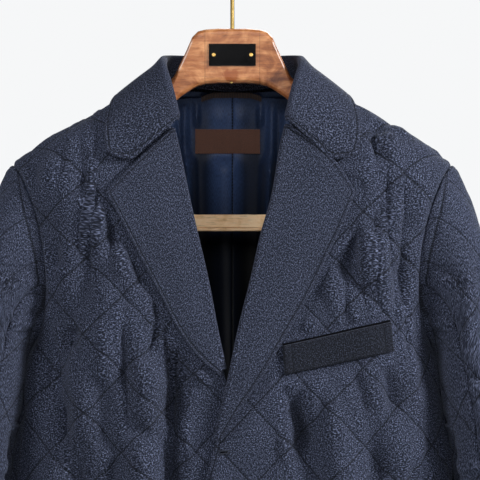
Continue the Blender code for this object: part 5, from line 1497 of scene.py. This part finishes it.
def build_button(name, node):
    """The profile turned round its axis; each hole sinks the face by a power bell curve."""
    low, high = (np.array(corner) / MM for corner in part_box(node))
    centre = np.array(((low[0] + high[0]) / 2, high[1], (low[2] + high[2]) / 2))
    turn = np.arange(BUTTON_SIDES) * 2 * math.pi / BUTTON_SIDES
    radius, thick = BUTTON_PROFILE[:, :1], np.repeat(BUTTON_PROFILE[:, 1:], BUTTON_SIDES, axis=1)
    x, z = radius * np.cos(turn), radius * np.sin(turn)
    for hole_x, hole_z in ((1, 1), (1, -1), (-1, 1), (-1, -1)):
        away = np.hypot(x - hole_x * HOLE_SPREAD, z - hole_z * HOLE_SPREAD)
        sunk = HOLE_DEPTH * np.exp(-(away / HOLE_RADIUS) ** 4)
        thick = thick - sunk * (np.arange(len(BUTTON_PROFILE)) >= FIRST_SUNK_ROW)[:, None]
    points = centre + np.stack((x, -thick, z), axis=-1)
    quads = ring_quads(len(BUTTON_PROFILE), BUTTON_SIDES)
    button = mesh_from(name, points.reshape(-1, 3), quads, HORN, merged=True)
    threads = []
    for lean in (1, -1):
        t = np.linspace(-1, 1, 25)
        over = np.clip(1.6 * (1 - np.abs(t) ** 3), 0, 1) * THREAD_HIGH - THREAD_FOOT
        side = HOLE_SPREAD * np.clip(t * 1.5, -1, 1)
        path = centre + np.stack((side, -over, side * lean), axis=-1)
        threads.append(tube(path, np.where(np.abs(t) == 1, 0, THREAD_RADIUS)))
    points, quads = joined(threads)
    thread = mesh_from(name + "_thread", points, quads, THREAD_NAVY, merged=True)
    attach(button, (node,))
    attach(thread)


THREAD_NAVY = worn_material("waxed linen thread", "#0b0f19", "#1d2434", 0.8, 0.0, 900.0, (1, 1, 1))
for k, word in enumerate(("upper", "lower")):
    build_button("horn_button_" + word, "button_%d" % (k + 1))

# %% The worked buttonhole at the end of the lapel
BUTTONHOLE = ((-13.5, -531.0), (2.5, -530.0))
BUTTONHOLE_HALF = 1.3
BUTTONHOLE_EYE = 2.1
BUTTONHOLE_THREAD = 0.62
BUTTONHOLE_STITCHES = 34


def build_buttonhole():
    """A keyhole line in the flat: a stadium that widens to an eye at its edge end, sewn round."""
    start, end = flatten(BUTTONHOLE, -1)
    run = end - start
    length = np.linalg.norm(run)
    turn = np.linspace(0, 2 * math.pi, 90)
    along = (1 - np.cos(turn)) / 2
    half = BUTTONHOLE_HALF + (BUTTONHOLE_EYE - BUTTONHOLE_HALF) * np.exp(-(along * length / 3.0) ** 2)
    half = half * np.sqrt(np.abs(np.sin(turn))) * np.sign(np.sin(turn))
    square = np.array((-run[1], run[0])) / length
    flat = start + along[:, None] * run + half[:, None] * square
    wave = 0.22 * np.sin(turn * BUTTONHOLE_STITCHES)
    here, inward = face_of(lambda at: hang(at, -1), flat)
    push = (folds(flat, LEFT_FOLDS) + left_drapes(flat)) * left_calm(flat) + overlap_lift(flat)
    path = here - inward * (push + QUILT_WALL + 1.0)[:, None]
    points, quads = tube(path, BUTTONHOLE_THREAD + wave)
    rim = mesh_from("buttonhole_stitches", points, quads, THREAD_NAVY)
    # the slit: a black strip of painted shade between the stitches
    middle = np.linspace(0.06, 0.94, 12)[:, None]
    low = start + middle * run - square * 0.6
    front_strip("buttonhole_slit", low, low + square * 1.2, 1.1)
    attach(rim)


build_buttonhole()

# %% The nail under the arch
NAIL_PLACE = (-1.0, -146.6)
NAIL_RADIUS = 1.3
NAIL_SIDES = 20


def build_nail():
    """A domed nail head: a quarter circle turned round, set on the head's front face."""
    front = float(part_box("hanger_head")[0][1]) / MM
    turn = np.arange(NAIL_SIDES) * 2 * math.pi / NAIL_SIDES
    rise = np.array((-0.8, 0.0, 0.35, 0.62, 0.8, 0.85))
    radius = np.array((1.0, 1.0, 0.92, 0.66, 0.3, 0.0))[:, None] * NAIL_RADIUS
    ring = np.stack((radius * np.cos(turn), np.repeat(-rise[:, None], NAIL_SIDES, axis=1),
                     radius * np.sin(turn)), axis=-1)
    ring = np.concatenate((ring[:1] * (0, 1, 0), ring))
    points = np.array((NAIL_PLACE[0], front, NAIL_PLACE[1])) + ring
    quads = ring_quads(len(points), NAIL_SIDES)
    attach(mesh_from("arch_nail", points.reshape(-1, 3), quads, BRASS, merged=True))


build_nail()

# %% [markdown]
# ## Floor, light and camera
# A catalogue picture is lit by soft lights in front of a white wall. The key light is an area light on
# the right, a weaker one stands on the left and another in front, so that both lapels throw a shadow on
# the chest. One more stands behind, and the white world does the rest. A single large light would be
# simpler, but it would flatten the folds. The world looks white to the camera and shines less on the
# jacket. The camera is far away with a long lens, level with the middle of the picture.

# %% Stage
def area_light(name, place, aim, size, watts):
    """A square area light at a place, turned so that it shines at its aim."""
    light = bpy.data.lights.new(name, "AREA")
    light.shape = "SQUARE"
    light.size = size
    light.energy = watts
    lamp = bpy.data.objects.new(name, light)
    lamp.location = place
    run = np.array(aim) - np.array(place)
    lamp.rotation_euler = (math.atan2(math.hypot(run[0], run[1]), -run[2]), 0,
                           math.atan2(run[1], run[0]) - math.pi / 2)
    bpy.context.scene.collection.objects.link(lamp)


FLOOR_HEIGHT = -1.25
FLOOR_HALF = 4
FLOOR_GLOW = 0.68
floor_mesh = bpy.data.meshes.new("floor")
floor_mesh.from_pydata([(x * FLOOR_HALF, y * FLOOR_HALF, FLOOR_HEIGHT)
                        for x, y in ((-1, -1), (1, -1), (1, 1), (-1, 1))], [], [(0, 1, 2, 3)])
floor = bpy.data.objects.new("floor", floor_mesh)
bpy.context.scene.collection.objects.link(floor)
floor_paint, floor_tree, floor_shader = new_material("matt white paint")
# the floor glows for the camera only, which makes it look paler and adds no light to the jacket
floor_seen = add(floor_tree, "ShaderNodeLightPath").outputs["Is Camera Ray"]
floor_glow = add(floor_tree, "ShaderNodeMath", {0: floor_seen, 1: FLOOR_GLOW}, operation="MULTIPLY")
feed(floor_tree, floor_shader, {"Base Color": linear("#cfd1d1"), "Roughness": 0.9,
                                "Emission Color": linear("#e9ebec"),
                                "Emission Strength": floor_glow.outputs[0]})
floor_mesh.materials.append(floor_paint)

world = bpy.data.worlds.new("white studio")
bpy.context.scene.world = world
world.use_nodes = True
world.node_tree.nodes.clear()
seen = add(world.node_tree, "ShaderNodeLightPath").outputs["Is Camera Ray"]
strength = add(world.node_tree, "ShaderNodeMapRange", {"Value": seen, "To Min": 0.09, "To Max": 0.955})
sky = add(world.node_tree, "ShaderNodeBackground", {"Color": linear("#fbfcfd"),
                                                    "Strength": strength.outputs["Result"]})
add(world.node_tree, "ShaderNodeOutputWorld", {"Surface": sky.outputs[0]})
CHEST = (0.0, 0.0, -0.2)
BELLY = (0.0, 0.0, -0.4)
area_light("key", (1.9, -1.0, 0.5), BELLY, 0.5, 74)
area_light("second", (-1.6, -1.0, 0.7), BELLY, 0.5, 22)
area_light("front", (0.0, -2.3, 0.62), CHEST, 0.8, 20)
area_light("behind", (0.6, 2.4, 0.9), BELLY, 1.2, 40)
bpy.context.scene.view_settings.view_transform = "Standard"

CAMERA_DISTANCE = 9.0
CAMERA_ACROSS = 0.008
CAMERA_HEIGHT = -0.311
FRAME_WIDTH = 0.499
FRONT_OF_JACKET = -0.06
lens = bpy.data.cameras.new("camera")
lens.sensor_width = 36.0
lens.lens = lens.sensor_width * CAMERA_DISTANCE / FRAME_WIDTH
camera = bpy.data.objects.new("camera", lens)
camera.location = (CAMERA_ACROSS, FRONT_OF_JACKET - CAMERA_DISTANCE, CAMERA_HEIGHT)
camera.rotation_euler = (math.pi / 2, 0, 0)
bpy.context.scene.collection.objects.link(camera)
bpy.context.scene.camera = camera
print("camera lens %.0f mm" % lens.lens)
